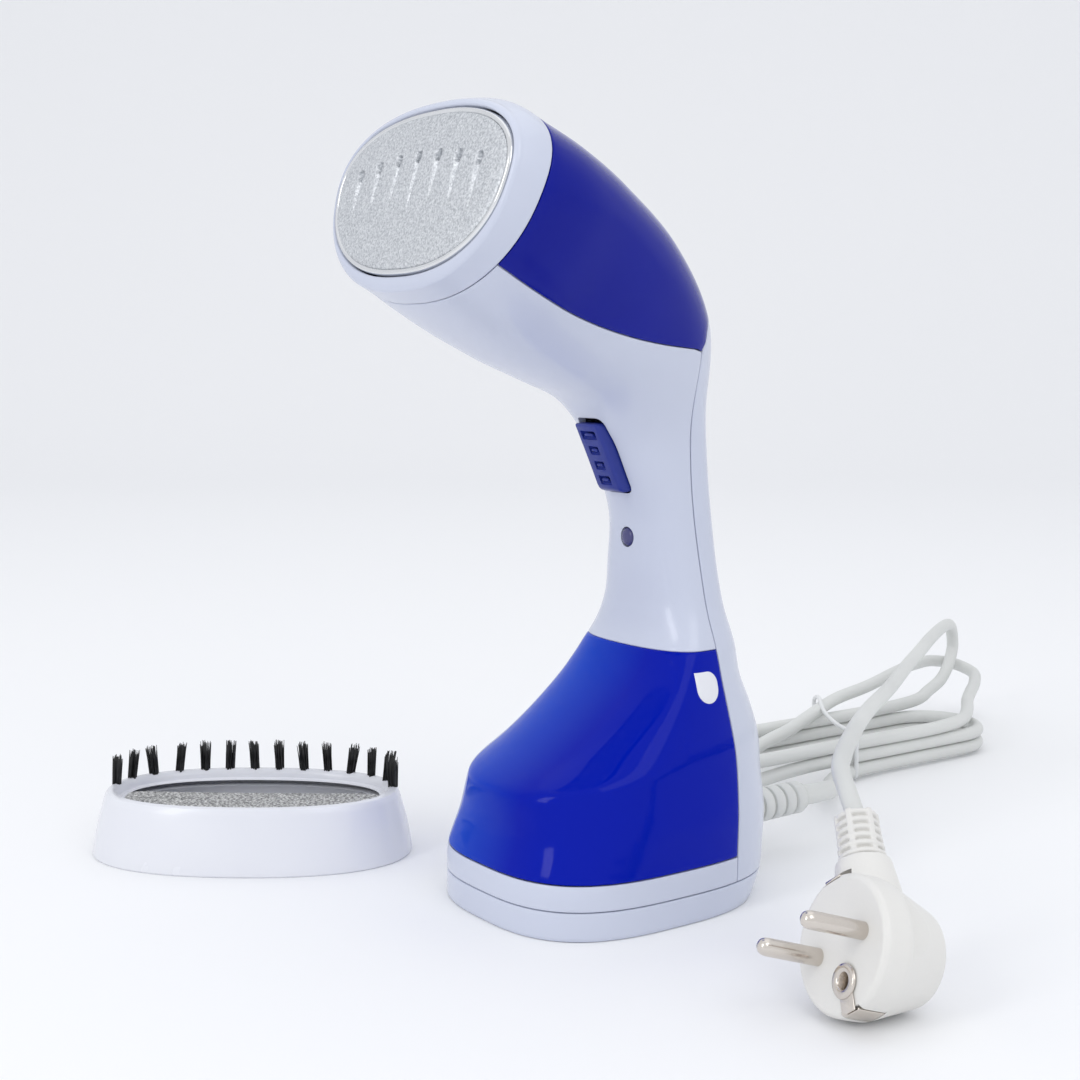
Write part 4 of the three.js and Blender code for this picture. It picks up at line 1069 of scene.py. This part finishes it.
def tuft_roots(count=14, inset=6.4):
    """Evenly spaced places on the rim's far half."""
    rim = [p for p in oval(inset, BRUSH_HEIGHT - 0.4, 720) if p.y > 3]
    lengths = [0]
    for a, b in zip(rim, rim[1:]):
        lengths.append(lengths[-1] + (b - a).length)
    roots = []
    for k in range(count):
        wanted = lengths[-1] * k / (count - 1)
        roots.append(min(zip(lengths, rim), key=lambda pair: abs(pair[0] - wanted))[1])
    return roots


def make_tufts():
    """Fourteen tufts on the far rim, each of tapered filaments that spread towards their tips."""
    points, faces = [], []
    for root in tuft_roots():
        lean = Vector((random.uniform(-0.08, 0.16), random.uniform(-0.06, 0.06), 1))
        for _ in range(46):
            angle = random.uniform(0, 2 * math.pi)
            distance = 1.55 * math.sqrt(random.random())
            foot = root + Vector((math.cos(angle), math.sin(angle), 0)) * distance
            spread = Vector((math.cos(angle), math.sin(angle), 0)) * distance * random.uniform(0.0, 0.45)
            tip = foot + lean * random.uniform(8.4, 10.6) + spread
            middle = foot.lerp(tip, 0.55) - spread * 0.15
            base = len(points)
            for spot, width in ((foot, 0.22), (middle, 0.2), (tip, 0.1)):
                for i in range(5):
                    a = 2 * math.pi * i / 5
                    points.append(spot + Vector((width * math.cos(a), width * math.sin(a), 0)))
            faces += [tuple(base + v for v in face) for face in ring_faces(3, 5, capped=True)]
    tufts = mesh_object("bristle_tufts", points, faces)
    move_mesh(tufts, BRUSH)
    finish_piece(tufts, "brush", "black_plastic", TUFT, "bristles")


# ---------------------------------------------------------------- stage
def make_stage():
    """A pale floor that curves up into a backdrop."""
    forward = Vector((-0.8166, 0.5772, 0))
    right = Vector((0.5772, 0.8166, 0))
    radius, start = 1.2, 1.6
    profile = [(-3.0, 0.0), (start, 0.0)]
    profile += [(start + radius * math.sin(a), radius * (1 - math.cos(a))) for a in
                (math.pi / 2 * k / 24 for k in range(1, 25))]
    profile.append((start + radius, 5.0))
    points = [forward * d + right * side + Vector((0, 0, h)) for d, h in profile for side in (-5, 5)]
    faces = [(2 * k, 2 * k + 1, 2 * k + 3, 2 * k + 2) for k in range(len(profile) - 1)]
    data = bpy.data.meshes.new("backdrop")
    data.from_pydata([tuple(p) for p in points], [], faces)
    data.shade_smooth()
    backdrop = bpy.data.objects.new("backdrop", data)
    bpy.context.scene.collection.objects.link(backdrop)
    n = Nodes("backdrop_paper").set(Roughness=0.9)
    n.link(n.ramp(n.noise(0.4, 2), (0.885, 0.89, 0.90), (0.91, 0.912, 0.92)), "Base Color")
    data.materials.append(n.material)


def area_light(name, place, target, size, power, colour=(1, 1, 1)):
    data = bpy.data.lights.new(name, "AREA")
    data.shape = "RECTANGLE"
    data.size, data.size_y = size
    data.energy = power
    data.color = colour
    light = bpy.data.objects.new(name, data)
    bpy.context.scene.collection.objects.link(light)
    light.location = place
    light.rotation_euler = (Vector(target) - Vector(place)).to_track_quat("-Z", "Y").to_euler()


def make_lights():
    world = bpy.data.worlds.new("studio")
    world.use_nodes = True
    background = world.node_tree.nodes["Background"]
    background.inputs["Color"].default_value = (0.95, 0.965, 1.0, 1)
    background.inputs["Strength"].default_value = 0.93
    bpy.context.scene.world = world
    area_light("key", (1.0, -0.1, 1.1), (0, 0, 0.1), (0.8, 0.8), 2.6)
    area_light("window", (0.15, -1.3, 0.75), (0, 0, 0.12), (0.3, 0.8), 3.2)
    area_light("overhead", (-0.3, 0.3, 1.5), (0, 0, 0), (1.6, 1.6), 2)


# ---------------------------------------------------------------- assembly
make_camera()
lead, lead_length = make_lead()
tie = make_tie()
make_strain_relief()
plug_pieces = [make_plug_body(), make_plug_boot(), *make_plug_metal()]

make_base_cap()
make_base_band()
make_rear_housing()
make_front_housing()
make_top_cover()
make_tank()
make_bezel()
make_plate()
make_plate_rim()
make_trigger()
make_lamp()
make_stopper()
make_brush_frame()
make_lint_pad()
make_tufts()

slot_of = {part["node"]: part["material_slot"] for part in frame["record"]["subparts"]}
for node, obj in frame["nodes"].items():
    obj.data.materials.clear()
    obj.data.materials.append(SLOT_MATERIALS[slot_of[node]])

make_stage()
make_lights()
bpy.context.scene.view_settings.view_transform = "Standard"
